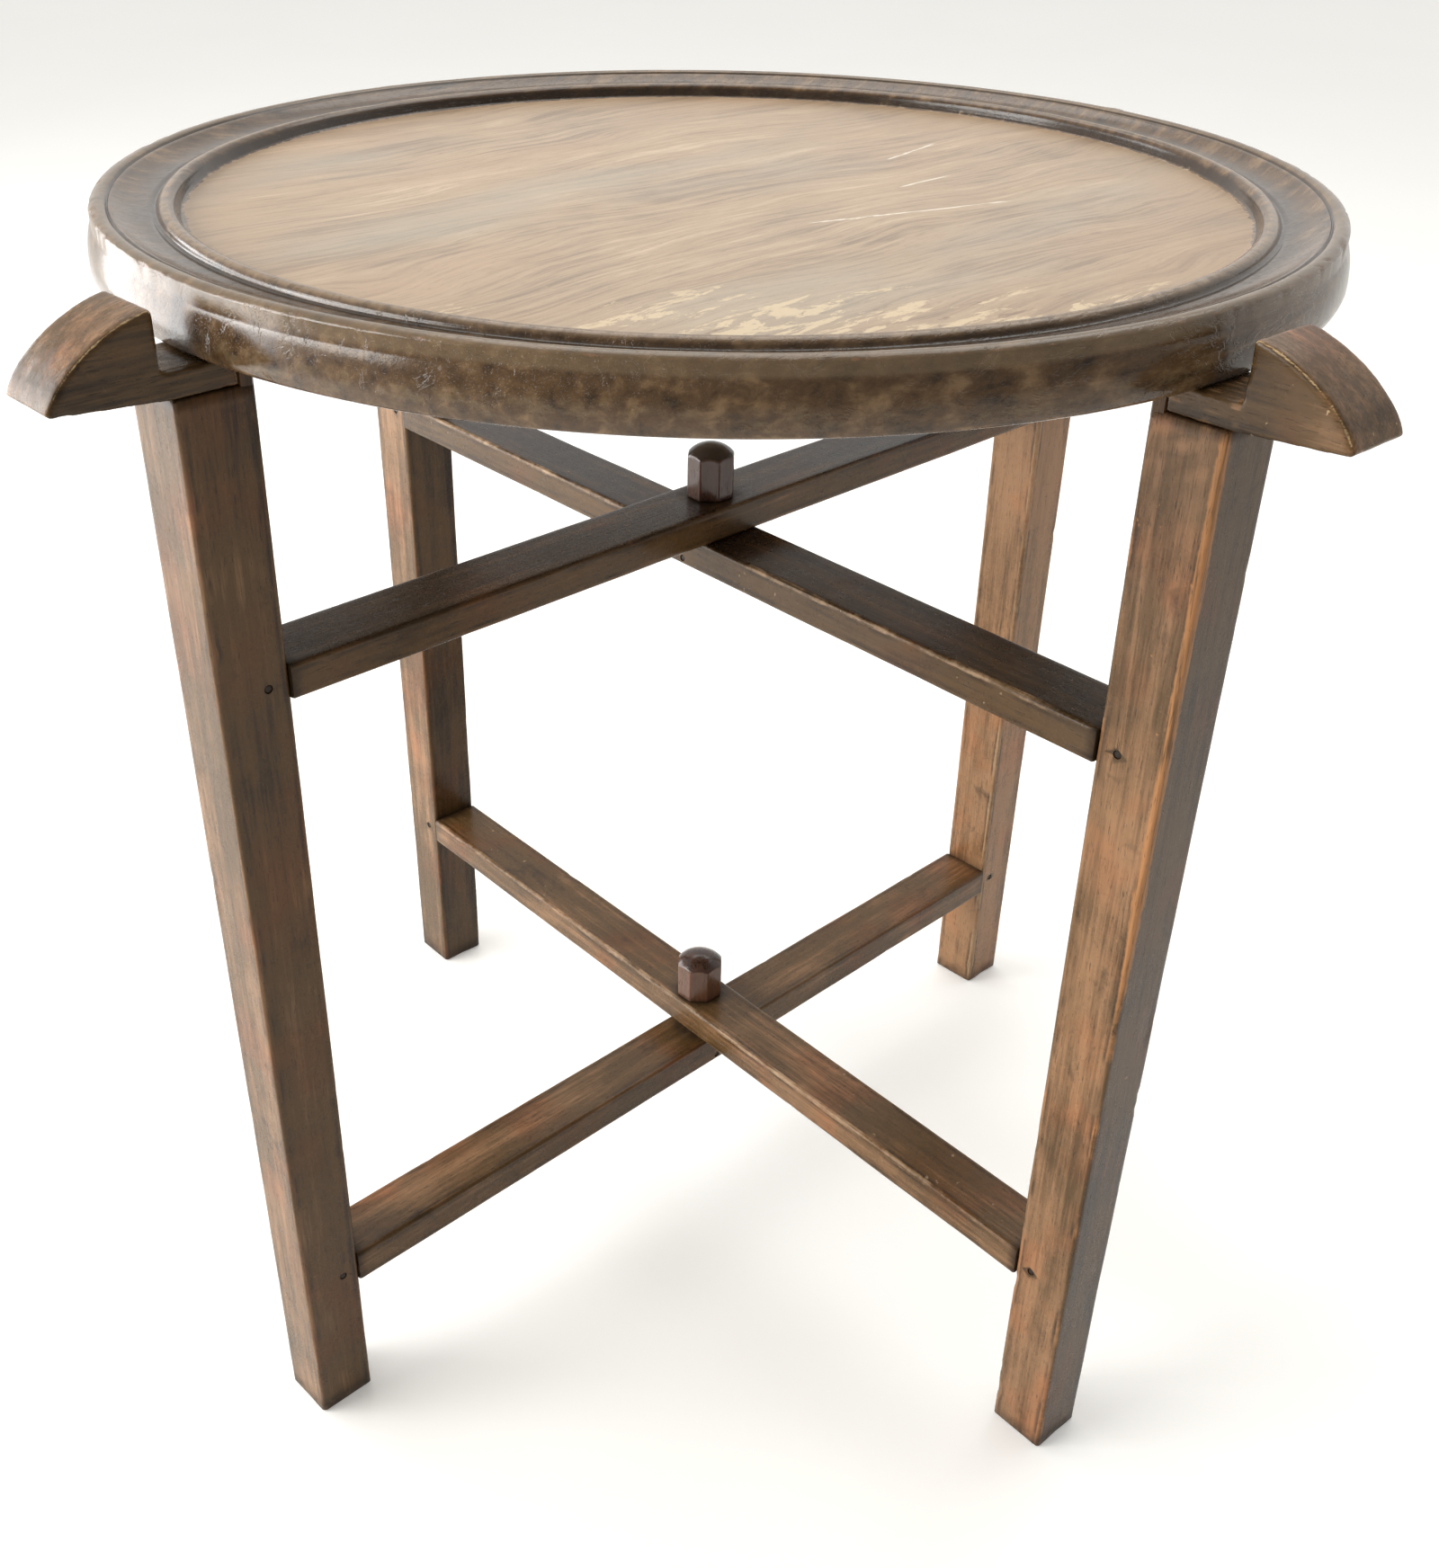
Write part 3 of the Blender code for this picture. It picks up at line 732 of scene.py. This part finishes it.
def convexity(mesh, points, normals, passes):
    """How far each point stands proud of its smoothed surroundings."""
    count = len(mesh.edges)
    ends = np.zeros(count * 2, np.int64)
    mesh.edges.foreach_get("vertices", ends)
    ends = ends.reshape(-1, 2)
    links = np.bincount(ends.reshape(-1), minlength=len(points)).astype(float)
    links = np.maximum(links, 1.0)
    relaxed = points.copy()
    for _ in range(passes):
        total = np.zeros_like(relaxed)
        for axis in range(3):
            total[:, axis] += np.bincount(ends[:, 0], relaxed[ends[:, 1], axis], len(points))
            total[:, axis] += np.bincount(ends[:, 1], relaxed[ends[:, 0], axis], len(points))
        relaxed = 0.5 * relaxed + 0.5 * total / links[:, None]
    return ((points - relaxed) * normals).sum(axis=1)


def bracket(corner, seed, material):
    """An arm and upswept wing, its upward and outward faces paler as painted light; one side's curved
    arris, the side in view, is a thin bright line, rubbed wear with a painted highlight.
    """
    node = "bracket_" + corner
    low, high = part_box("leg_" + corner)
    middle = (low + high) / 2
    place = place_at(middle.x, middle.y, 0.0, math.atan2(middle.y, middle.x))
    shape = cad_points(node, place.inverted())
    lowest, highest = shape[:, 2].min(), shape[:, 2].max()
    tip, half = shape[:, 0].max(), shape[:, 1].max()
    face = shape[shape[:, 2] > highest - 0.002][:, 0].min()
    seen_side = 1.0 if corner in ("front_left", "back_left") else -1.0

    def rule(points, normals):
        x, y, z = points.T
        # painted light: faces of the wing that turn up or outwards are made paler
        lit_faces = smooth_step(0.2, 0.6, normals[:, 2]) + smooth_step(0.5, 0.9, normals[:, 0])
        on_wing = smooth_step(face - 0.001, face + 0.001, x)
        tone = -0.10 + 0.50 * np.minimum(lit_faces, 1.0) * on_wing
        tone += 0.15 * noise(points, (0.03, 0.012, 0.012), seed + 6, 2)
        if corner == "front_right":
            tone += 0.55 * smooth_step(face, tip - 0.006, x) * smooth_step(0.5, 0.9, np.abs(normals[:, 1]))
            chafed = smooth_step(0.0, 0.5, noise(points, (0.006, 0.002, 0.002), seed + 9, 2))
            tone += 0.60 * (1 - on_wing) * chafed
        # painted shade on the wing's inner face, in the slot beside the tray
        slot_shade = smooth_step(0.5, 0.95, -normals[:, 0]) * smooth_step(lowest + 0.011, lowest + 0.016, z)
        at_tip = smooth_step(tip - 0.014, tip - 0.002, x + 0.004 * noise(points, 0.008, seed + 7))
        grime = np.maximum(0.85 * slot_shade, 0.55 * at_tip * smooth_step(0.006, 0.013, z - lowest))
        # the chamfer on the side in view takes the rubbed colour as a painted highlight, as well as some
        # rubbing
        lean = np.arctan2(np.abs(normals[:, 1]), np.hypot(normals[:, 0], normals[:, 2]))
        arris = 0.0050 * np.abs(lean - math.pi / 4)
        rub = 0.10 + 0.55 * on_wing * (y * seen_side > half - 0.005) * (z > lowest + 0.007)
        return tone, grime, arris, rub

    return worn_copy(node, place, BRACKET_VOXEL, material, seed, 3, 0.00014, rule)


def pin(node, seed, material):
    """A pivot pin, its domed top darker than its flats."""
    low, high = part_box(node)
    middle = (low + high) / 2
    lift = high.z - KNOB_HEIGHT
    place = place_at(middle.x, middle.y, 0.0, 0.0)

    def rule(points, normals):
        foot = smooth_step(lift + 0.003, lift, points[:, 2] + 0.001 * noise(points, 0.003, seed))
        dome = smooth_step(0.30, 0.80, normals[:, 2])
        tone = 0.25 - 0.75 * dome
        return tone, 0.6 * foot, np.full(len(points), UNWORN), np.zeros(len(points))

    return worn_copy(node, place, PIN_VOXEL, material, seed, 4, 0.00010, rule)


def peg(node, seed, material):
    """A small peg or nail end."""
    low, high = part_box(node)
    middle = (low + high) / 2

    place = place_at(middle.x, middle.y, middle.z, 0.0)

    def rule(points, _normals):
        return [np.full(len(points), value) for value in (0.0, 0.2, UNWORN, 0.0)]

    return worn_copy(node, place, PEG_VOXEL, material, seed, 1, 0.00004, rule)


# ==== the tray

def arc(centre, radii, start, stop, steps):
    """Points on part of an ellipse, angles in degrees."""
    turns = np.radians(np.linspace(start, stop, steps + 1))
    return [(centre[0] + radii[0] * math.cos(t), centre[1] + radii[1] * math.sin(t)) for t in turns]


def tray_profile(top, bottom, radius):
    """The tray's half section with fine steps over its mouldings."""
    panel_radius = radius - PANEL_INSET
    bead = radius - BEAD_INSET
    scribe = radius - SCRIBE_INSET
    panel = top - PANEL_DEPTH
    profile = [(r, panel) for r in np.linspace(0.02, panel_radius - 0.006, 9)]
    profile += [(panel_radius - 0.003, panel - 0.0001), (panel_radius - 0.001, panel - 0.0002)]
    profile += [(panel_radius, panel)]
    profile += [(panel_radius + 0.0004, panel + 0.0010), (panel_radius + 0.0010, panel + 0.0022)]
    profile += arc((bead, top - BEAD_DEPTH), BEAD_SIZE, 172, 8, 14)
    # the groove outside the bead, then the broad hollow
    profile += [(bead + 0.0043, top - 0.0058), (bead + 0.0052, top - 0.0061), (bead + 0.0060, top - 0.0059)]
    start = np.array((bead + 0.0066, top - 0.0055))
    stop = np.array((scribe - 0.0008, top - 0.0012))
    for share in np.linspace(0, 1, 12):
        point = start + (stop - start) * share
        profile.append((point[0], point[1] - HOLLOW_SAG * math.sin(math.pi * share)))
    # the scribed line and the outer band
    profile += [(scribe - 0.0004, top - 0.0013), (scribe - 0.0001, top - 0.0020)]
    profile += [(scribe + 0.0004, top - 0.0019), (scribe + 0.0008, top - 0.0009)]
    profile += [(scribe + 0.0014, top - 0.0005), (scribe + 0.0022, top - 0.0002)]
    profile += [(scribe + 0.0030, top), (scribe + 0.0034, top)]
    # the band's arris, the bulging side and the rounding under it
    profile += arc((radius - BAND_EDGE_INSET, top - BAND_EDGE[1]), BAND_EDGE, 86, 15, 8)
    profile += arc((radius - SIDE_SIZE[0], top - SIDE_SIZE[1]), SIDE_SIZE, 40, -4, 16)
    profile += arc((radius - FOOT_INSET, bottom + FOOT_SIZE[1]), FOOT_SIZE, -8, -90, 8)
    profile += [(radius - 0.012, bottom), (radius * 0.8, bottom), (radius * 0.4, bottom), (0.02, bottom)]
    return np.array(profile)


def tray(material):
    """The turned tray, with chipped arris and slightly uneven mouldings."""
    low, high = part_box("tray_top")
    radius = (high.x - low.x) / 2
    top, bottom = high.z, low.z
    profile = tray_profile(top, bottom, radius - 0.0002)
    rows = len(profile)
    turns = np.arange(TRAY_STEPS) * math.tau / TRAY_STEPS
    r = np.repeat(profile[:, 0][:, None], TRAY_STEPS, axis=1)
    z = np.repeat(profile[:, 1][:, None], TRAY_STEPS, axis=1)
    tangent = np.gradient(profile, axis=0)
    tangent /= np.maximum(np.hypot(tangent[:, 0], tangent[:, 1]), 1e-9)[:, None]
    points = np.stack([r * np.cos(turns), r * np.sin(turns), z], axis=2).reshape(-1, 3)

    def lumps(size, seed, octaves=2):
        return noise(points, size, seed, octaves).reshape(r.shape)

    bead_r = radius - BEAD_INSET
    to_arris = np.hypot(r - (radius - 0.0035), z - (top - 0.0012))
    to_bead = np.hypot(r - bead_r, z - (top - 0.0026))
    # the arris is most knocked about at the left and right ends of the grain
    exposed = 0.45 + 0.55 * np.abs(np.cos(turns)) ** 2
    chips = smooth_step(0.10, 0.55, lumps((0.0045, 0.0045, 0.002), 71)) * exposed
    big = smooth_step(0.35, 0.75, lumps((0.016, 0.016, 0.008), 72)) * exposed
    wear = smooth_step(0.0036, 0.0006, to_arris)
    outside = smooth_step(bead_r - 0.006, bead_r, r)
    push = -(0.00030 * chips + 0.00055 * big) * wear
    push -= 0.00030 * smooth_step(0.0025, 0.0005, to_bead) * big
    push += outside * (0.00014 * lumps(0.03, 73) + 0.00006 * lumps(0.006, 74))
    push *= smooth_step(bottom, bottom + 0.002, z)
    r = np.minimum(r - tangent[:, 1][:, None] * push, radius)
    z = np.minimum(z + tangent[:, 0][:, None] * push, top)
    points = np.stack([r * np.cos(turns), r * np.sin(turns), z], axis=2).reshape(-1, 3)
    last = (rows - 1) * TRAY_STEPS
    faces = wall_faces(rows, TRAY_STEPS, flipped=True)
    faces += [tuple(range(TRAY_STEPS)), tuple(reversed(range(last, last + TRAY_STEPS)))]
    fields = {
        "arris": np.minimum(to_arris, to_bead * 1.4).reshape(-1),
        "chips": (wear * np.maximum(chips, big)).reshape(-1),
    }
    obj = make_piece("worn_tray", "tray_top", place_at(0, 0, 0, 0), points, faces, material, fields)
    return settle(obj, "tray_top")


def board_colour(n, where, r, y, x):
    """The pale board in the middle of the tray, bleached and lightened with painted sheen: colour, how
    scuffed, and roughness.
    """
    place = n.stretch(where, (1, 1, 1), GRAIN_TURN)
    # long cathedral figure bends the grain towards the back
    sway = n.noise(n.stretch(place, (4.5, 9.0, 5.0)), 1.0, 2.0, 0.5)
    bent = n.add("ShaderNodeVectorMath", operation="ADD")
    n.put(place, bent.inputs[0])
    offset = n.add("ShaderNodeCombineXYZ")
    n.put(n.both(sway, 0.085), offset.inputs["Y"])
    n.put(offset.outputs[0], bent.inputs[1])
    figure = n.noise(n.stretch(bent.outputs[0], (3.0, 62.0, 8.0)), 1.0, 4.0, 0.60, 0.35)
    fine = n.noise(n.stretch(bent.outputs[0], (9.0, 210.0, 40.0)), 1.0, 5.0, 0.68, 0.15)
    hair = n.noise(n.stretch(bent.outputs[0], (30.0, 620.0, 90.0)), 1.0, 3.0, 0.62)
    clouds = n.noise(n.stretch(place, (9.0, 17.0, 9.0)), 1.0, 4.0, 0.62, 0.4)
    level = n.swings(-0.07, (figure, 0.9), (fine, 1.7), (clouds, 1.5), (hair, 1.3))
    board = n.mix(n.band(level, -0.62, 0.05), BOARD_DARK, BOARD_MIDDLE)
    board = n.mix(n.band(level, 0.0, 0.60), board, BOARD_PALE_AND_SHEEN)
    rosy = n.noise(n.stretch(place, (6.0, 16.0, 5.0)), 1.0, 2.0, 0.5)
    board = n.mix(n.band(rosy, 0.46, 0.70, 0.0, 0.32), board, BOARD_ROSY)
    ashen = n.noise(n.stretch(place, (5.0, 12.0, 5.0), 0.0, (2.0, 4.0, 0.0)), 1.0, 3.0, 0.5)
    board = n.mix(n.band(ashen, 0.48, 0.68, 0.0, 0.50), board, BOARD_ASHEN)
    pores = n.noise(n.stretch(bent.outputs[0], (120.0, 2100.0, 200.0)), 1.0, 2.0, 0.5)
    board = n.mix(n.band(pores, 0.39, 0.31, 0.0, 0.42), board, BOARD_PORE)

    # browner towards the bead
    board = n.mix(n.band(r, 0.150, 0.225, 0.0, 0.30), board, BOARD_BROWN)

    # rubbed through to bare cream wood towards the front right, with dark remains of polish
    front = n.total(0.0, (x, 0.08), (y, -1.0))
    towards = n.both(n.band(front, 0.10, 0.22), n.band(x, -0.05, 0.03, 0.45, 1.0))
    scuff = n.noise(n.stretch(place, (26.0, 85.0, 60.0)), 1.0, 6.0, 0.70, 0.5)
    bare = n.band(n.total(scuff, (towards, 0.20)), 0.666, 0.700)
    bare = n.both(bare, n.band(towards, 0.05, 0.5))
    board = n.mix(n.both(bare, 0.75), board, BOARD_BARE)
    remains = n.noise(n.stretch(place, (40.0, 110.0, 60.0), 0.0, (1.2, 0.4, 2.0)), 1.0, 5.0, 0.68, 0.4)
    left_over = n.band(n.total(remains, (towards, 0.10)), 0.66, 0.72)
    left_over = n.both(left_over, n.band(towards, 0.15, 0.8, 0.0, 0.65))
    board = n.mix(left_over, board, BOARD_POLISH)
    for start, stop in BOARD_SCRATCHES:
        scratch = scratch_mask(n, x, y, start, stop, hair)
        board = n.mix(n.both(scratch, 0.75), board, BOARD_SCRATCH)
    return board, bare, n.total(0.24, (bare, 0.15), (clouds, 0.20))


def scratch_mask(n, x, y, start, stop, wobble):
    """A thin, slightly wandering scratch between two places on the board."""
    length = math.dist(start, stop)
    along_x, along_y = (stop[0] - start[0]) / length, (stop[1] - start[1]) / length
    off_x = n.math("SUBTRACT", x, start[0])
    off_y = n.math("SUBTRACT", y, start[1])
    along = n.total(0.0, (off_y, along_y), (off_x, along_x))
    across = n.total(-0.0020, (off_x, -along_y), (off_y, along_x), (wobble, 0.0040))
    thin = n.band(n.math("ABSOLUTE", across), 0.0009, 0.0003)
    ends = n.both(n.band(along, 0.0, 0.006), n.band(along, length, length - 0.010))
    return n.both(thin, ends)


def rim_colour(n, where, radius, top, r, z, streak, mottled, ragged):
    """The dark turned rim: its colour, with painted highlight and shade on its mouldings, and where the
    arris has flaked.
    """
    level = n.swings(0.0, (mottled, 0.5), (streak, 0.8))
    rim = n.mix(n.band(level, -0.26, 0.02), RIM_DEEP, RIM_STAIN)
    rim = n.mix(n.band(level, -0.02, 0.24), rim, RIM_LIGHT)
    # painted light: the outer band and the crest of the bead are paler as painted highlight, the crest also
    # flecked with pale wear; the foot of the hollow is darker as painted shade
    scribe = radius - SCRIBE_INSET
    outer_band_highlight = n.both(n.band(z, top - 0.0075, top - 0.0055), n.band(r, scribe - 0.001, scribe + 0.002))
    rim = n.mix(n.both(outer_band_highlight, 0.45), rim, RIM_BAND_HIGHLIGHT)
    crest_wear_and_highlight = n.band(n.away(r, radius - BEAD_INSET + 0.0004), 0.0030, 0.0008)
    rim = n.mix(n.both(crest_wear_and_highlight, n.band(ragged, 0.38, 0.58, 0.25, 0.75)), rim, RIM_CREST_WEAR_AND_HIGHLIGHT)
    hollow_shade = n.band(r, radius - 0.0165, radius - 0.0250)
    hollow_shade = n.both(hollow_shade, n.band(r, radius - 0.0300, radius - 0.0275))
    rim = n.mix(n.both(hollow_shade, 0.55), rim, RIM_DEEP)
    # yellowish mottling low on the side
    low_band = n.both(n.band(z, top - 0.0125, top - 0.0165), n.band(z, top - 0.0240, top - 0.0215))
    speckle = n.noise(n.stretch(where, (130, 130, 260)), 1.0, 5.0, 0.70)
    rim = n.mix(n.both(low_band, n.band(speckle, 0.47, 0.64, 0.0, 0.28)), rim, RIM_SPECKLE)
    # rubbed and flaked arrises
    reach = n.total(-0.0024, (ragged, 0.0045))
    rubbed = n.band(n.math("SUBTRACT", reach, n.attribute("arris")), -0.0003, 0.0005)
    rim = n.mix(n.both(rubbed, 0.70), rim, RIM_RUBBED)
    flaked = n.both(n.attribute("chips"), n.band(ragged, 0.42, 0.56, 0.1, 0.9))
    rim = n.mix(flaked, rim, RIM_FLAKED)
    # painted shade darkens the grooves
    for inset, wide, narrow, share in (
        (GROOVE_INSET, 0.0020, 0.0003, 0.75),
        (SCRIBE_INSET, 0.0011, 0.0003, 0.75),
        (PANEL_INSET - 0.0006, 0.0016, 0.0004, 0.80),
    ):
        rim = n.mix(n.band(n.away(r, radius - inset), wide, narrow, 0.0, share), rim, RIM_DEEP)
    return rim, flaked


def tray_wood():
    """One material for the whole tray: a pale, scuffed middle, bleached and lightened with painted sheen,
    inside a dark turned rim with painted highlight and shade on its mouldings.
    """
    low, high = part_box("tray_top")
    radius = (high.x - low.x) / 2
    n = Nodes("tray_wood")
    where = n.where()
    split = n.add("ShaderNodeSeparateXYZ")
    n.put(where, split.inputs[0])
    x, y, z = split.outputs
    r = n.math("SQRT", n.total(0.0, (y, y), (x, x)))
    streak, fibre, pores = grain_fields(n, "x", 3, GRAIN_TURN)[2:]
    board, bare, board_rough = board_colour(n, where, r, y, x)
    mottled = n.noise(n.stretch(where, (60, 60, 60)), 1.0, 5.0, 0.65, 0.4)
    ragged = n.noise(n.stretch(where, (210, 210, 210)), 1.0, 4.0, 0.68)
    rim, flaked = rim_colour(n, where, radius, high.z, r, z, streak, mottled, ragged)

    # the rim's dark polish ends in a ragged line beside the bead
    lumpy = n.noise(n.stretch(where, (45, 45, 45)), 1.0, 3.0, 0.6)
    edge_at = n.total(radius - PANEL_INSET + 0.0030, (ragged, -0.0045), (lumpy, -0.0040))
    rim_share = n.band(n.math("SUBTRACT", r, edge_at), -0.0006, 0.0008)
    colour = n.mix(rim_share, board, rim)
    rim_rough = n.total(0.03, (mottled, 0.14), (ragged, 0.14), (flaked, 0.30))
    rough = n.add("ShaderNodeMix", data_type="FLOAT")
    for value, socket in zip((rim_share, board_rough, rim_rough), (0, 2, 3)):
        n.put(value, rough.inputs[socket])
    pore = n.band(pores, 0.38, 0.31)
    height = n.total(0.0, (fibre, 0.35), (ragged, 0.35), (pore, -0.5), (bare, -0.6), (flaked, -0.9))
    return n.finish(colour, rough.outputs[0], height, 0.00030, 0.45, RIM_SHEEN)


# ==== stage

def stage():
    """A plain pale floor."""
    bm = bmesh.new()
    bmesh.ops.create_circle(bm, cap_ends=True, segments=96, radius=14.0)
    mesh = bpy.data.meshes.new("floor")
    bm.to_mesh(mesh)
    bm.free()
    floor = new_object("floor", mesh)
    n = Nodes("floor_paint")
    cloudy = n.noise(n.stretch(n.where(), (3, 3, 3)), 1.0, 3.0, 0.5)
    colour = n.mix(cloudy, (0.86, 0.855, 0.83), (0.90, 0.895, 0.87))
    grit = n.noise(n.stretch(n.where(), (90, 90, 90)), 1.0, 3.0, 0.5)
    n.finish(colour, 0.62, grit, 0.0002, 0.3, 0.25)
    n.shader.inputs["Emission Color"].default_value = (1.0, 0.995, 0.975, 1.0)
    n.shader.inputs["Emission Strength"].default_value = 0.19
    floor.data.materials.append(n.material)


def soft_light(name, at, towards, size, power, colour):
    """A large rectangular light."""
    data = bpy.data.lights.new(name, "AREA")
    data.shape = "RECTANGLE"
    data.size, data.size_y = size
    data.energy = power
    data.color = colour
    obj = new_object(name, data)
    obj.location = at
    obj.rotation_euler = (Vector(towards) - Vector(at)).to_track_quat("-Z", "Y").to_euler()


def surroundings():
    """A bright room behind and beside the table, dimmer on the viewer's side."""
    world = bpy.data.worlds.new("studio")
    bpy.context.scene.world = world
    world.use_nodes = True
    tree = world.node_tree
    tree.nodes.clear()
    coordinates = tree.nodes.new("ShaderNodeTexCoord")
    facing = tree.nodes.new("ShaderNodeVectorMath")
    facing.operation = "DOT_PRODUCT"
    facing.inputs[1].default_value = (0.25, -0.95, 0.15)
    ramp = tree.nodes.new("ShaderNodeMapRange")
    ramp.interpolation_type = "SMOOTHSTEP"
    for key, value in (("From Min", -0.15), ("From Max", 0.65), ("To Min", 1.0), ("To Max", 0.30)):
        ramp.inputs[key].default_value = value
    room = tree.nodes.new("ShaderNodeBackground")
    room.inputs["Color"].default_value = (1.0, 0.985, 0.96, 1.0)
    plain = tree.nodes.new("ShaderNodeBackground")
    plain.inputs["Color"].default_value = (0.97, 0.965, 0.945, 1.0)
    plain.inputs["Strength"].default_value = 1.0
    path = tree.nodes.new("ShaderNodeLightPath")
    choose = tree.nodes.new("ShaderNodeMixShader")
    out = tree.nodes.new("ShaderNodeOutputWorld")
    link = tree.links.new
    link(coordinates.outputs["Generated"], facing.inputs[0])
    link(facing.outputs["Value"], ramp.inputs["Value"])
    link(ramp.outputs[0], room.inputs["Strength"])
    link(path.outputs["Is Camera Ray"], choose.inputs[0])
    link(room.outputs[0], choose.inputs[1])
    link(plain.outputs[0], choose.inputs[2])
    link(choose.outputs[0], out.inputs["Surface"])


def camera():
    """A near, high viewpoint in front of the table."""
    forward = Vector((
        math.sin(CAMERA_YAW) * math.cos(CAMERA_PITCH),
        math.cos(CAMERA_YAW) * math.cos(CAMERA_PITCH),
        -math.sin(CAMERA_PITCH),
    ))
    right = Vector((math.cos(CAMERA_YAW), -math.sin(CAMERA_YAW), 0.0))
    up = right.cross(forward)
    across = right * math.cos(CAMERA_ROLL) + up * math.sin(CAMERA_ROLL)
    upright = up * math.cos(CAMERA_ROLL) - right * math.sin(CAMERA_ROLL)
    data = bpy.data.cameras.new("camera")
    data.lens = CAMERA_LENS
    data.sensor_width = 36.0
    data.shift_x = CAMERA_SHIFT
    data.clip_start = 0.01
    data.clip_end = 60.0
    obj = new_object("camera", data)
    turn = Matrix((across, upright, -forward)).transposed().to_4x4()
    obj.matrix_world = Matrix.Translation(CAMERA_AT) @ turn
    bpy.context.scene.camera = obj


# ==== build

camera()
surroundings()
soft_light("window", (-2.2, -0.75, 1.50), (0.0, 0.0, 0.40), (1.6, 1.0), 46.0, (1.0, 0.985, 0.96))
soft_light("side_glow", (-2.1, 0.35, 0.66), (0.0, 0.0, 0.50), (2.2, 1.2), 46.0, (0.98, 0.99, 1.0))
soft_light("overhead", (0.2, 0.9, 2.4), (0.0, 0.0, 0.4), (2.2, 1.8), 26.0, (1.0, 0.99, 0.97))
stage()
bpy.context.scene.view_settings.view_transform = "Standard"

DEEP = (0.018, 0.0095, 0.0042)
BASE = (0.088, 0.048, 0.018)
PALE = (0.300, 0.163, 0.080)
WORN_ORANGE = (0.420, 0.190, 0.070)
WORN_RED = (0.150, 0.060, 0.028)
WORN_CREAM = (0.400, 0.270, 0.160)
# the brackets' rubbed colour, which also paints a highlight along their chamfered arris
WORN_GOLD_AND_HIGHLIGHT = (0.560, 0.400, 0.210)

# tones of each leg's outer side, then round it, seen from above, anticlockwise, part the wood's own colour
# and part painted light and shade on the sides;
# then how rubbed each arris is, low and high on the leg, in the same order
LEG_LOOKS = {
    "front_left": (
        (0.36, 0.05, -0.1, -0.2), ((0.25, 0.25), (0.1, 0.1), (0.1, 0.1), (0.2, 0.2)), WORN_RED, 11),
    "front_right": (
        (-0.05, -0.2, 0.0, 0.56), ((0.1, 0.1), (0.1, 0.1), (0.1, 0.2), (0.2, 0.95)), WORN_ORANGE, 23),
    "back_left": (
        (0.0, 0.40, -0.10, 0.0), ((0.1, 0.1), (0.3, 0.2), (0.1, 0.1), (0.1, 0.1)), WORN_RED, 37),
    "back_right": (
        (0.0, 0.1, 0.75, 0.75), ((0.1, 0.1), (0.1, 0.1), (0.4, 0.3), (0.1, 0.1)), WORN_CREAM, 41),
}
for corner, (tones, rubs, worn, seed) in LEG_LOOKS.items():
    leg(corner, tones, rubs, seed, old_wood("leg_wood_" + corner, "z", seed, (DEEP, BASE, PALE, worn)))
    bracket_wood = old_wood("bracket_wood_" + corner, "x", seed + 5, (DEEP, BASE, PALE, WORN_GOLD_AND_HIGHLIGHT), 0.24)
    bracket(corner, seed + 5, bracket_wood)

# tones of the viewer's side, top, far side and underside of each stretcher, with painted light and shade in
# them: the upper stretchers' tops under the tray and every underside are darkened as painted shade; then
# its arrises, beginning with the one between the viewer's side and the top
STRETCHER_LOOKS = {
    "upper_stretcher_a": ((0.05, -0.42, 0.0, -0.2), (0.15, 0.1, 0.1, 0.1), WORN_RED, 51),
    "upper_stretcher_b": ((-0.05, -0.40, 0.0, -0.2), (0.28, 0.1, 0.1, 0.1), WORN_CREAM, 57),
    "lower_stretcher_a": ((0.25, 0.30, 0.0, -0.2), (0.10, 0.1, 0.1, 0.1), WORN_RED, 63),
    "lower_stretcher_b": ((0.42, 0.30, 0.0, -0.2), (0.28, 0.1, 0.1, 0.1), WORN_CREAM, 69),
}
for name, (tones, rubs, worn, seed) in STRETCHER_LOOKS.items():
    bar_wood = old_wood(name + "_wood", "z", seed, (DEEP, BASE, PALE, worn))
    stretcher(name, tones, rubs, seed, bar_wood)

PIN_PALETTE = ((0.010, 0.005, 0.003), (0.050, 0.020, 0.011), (0.120, 0.055, 0.030), WORN_RED)
for node, seed, lift in (("upper_pivot_pin", 81, -0.25), ("lower_pivot_pin", 83, 0.40)):
    pin(node, seed, old_wood(node + "_wood", "z", seed, PIN_PALETTE, 0.14, lift, PIN_SHEEN))

PEG_PALETTE = ((0.008, 0.005, 0.003), (0.026, 0.015, 0.009), (0.060, 0.035, 0.020), WORN_RED)
peg_wood = old_wood("peg_wood", "y", 91, PEG_PALETTE, 0.40)
for node in sorted(frame["nodes"]):
    if node.startswith("peg_") or node.endswith("_nail"):
        peg(node, 97, peg_wood)

tray(tray_wood())
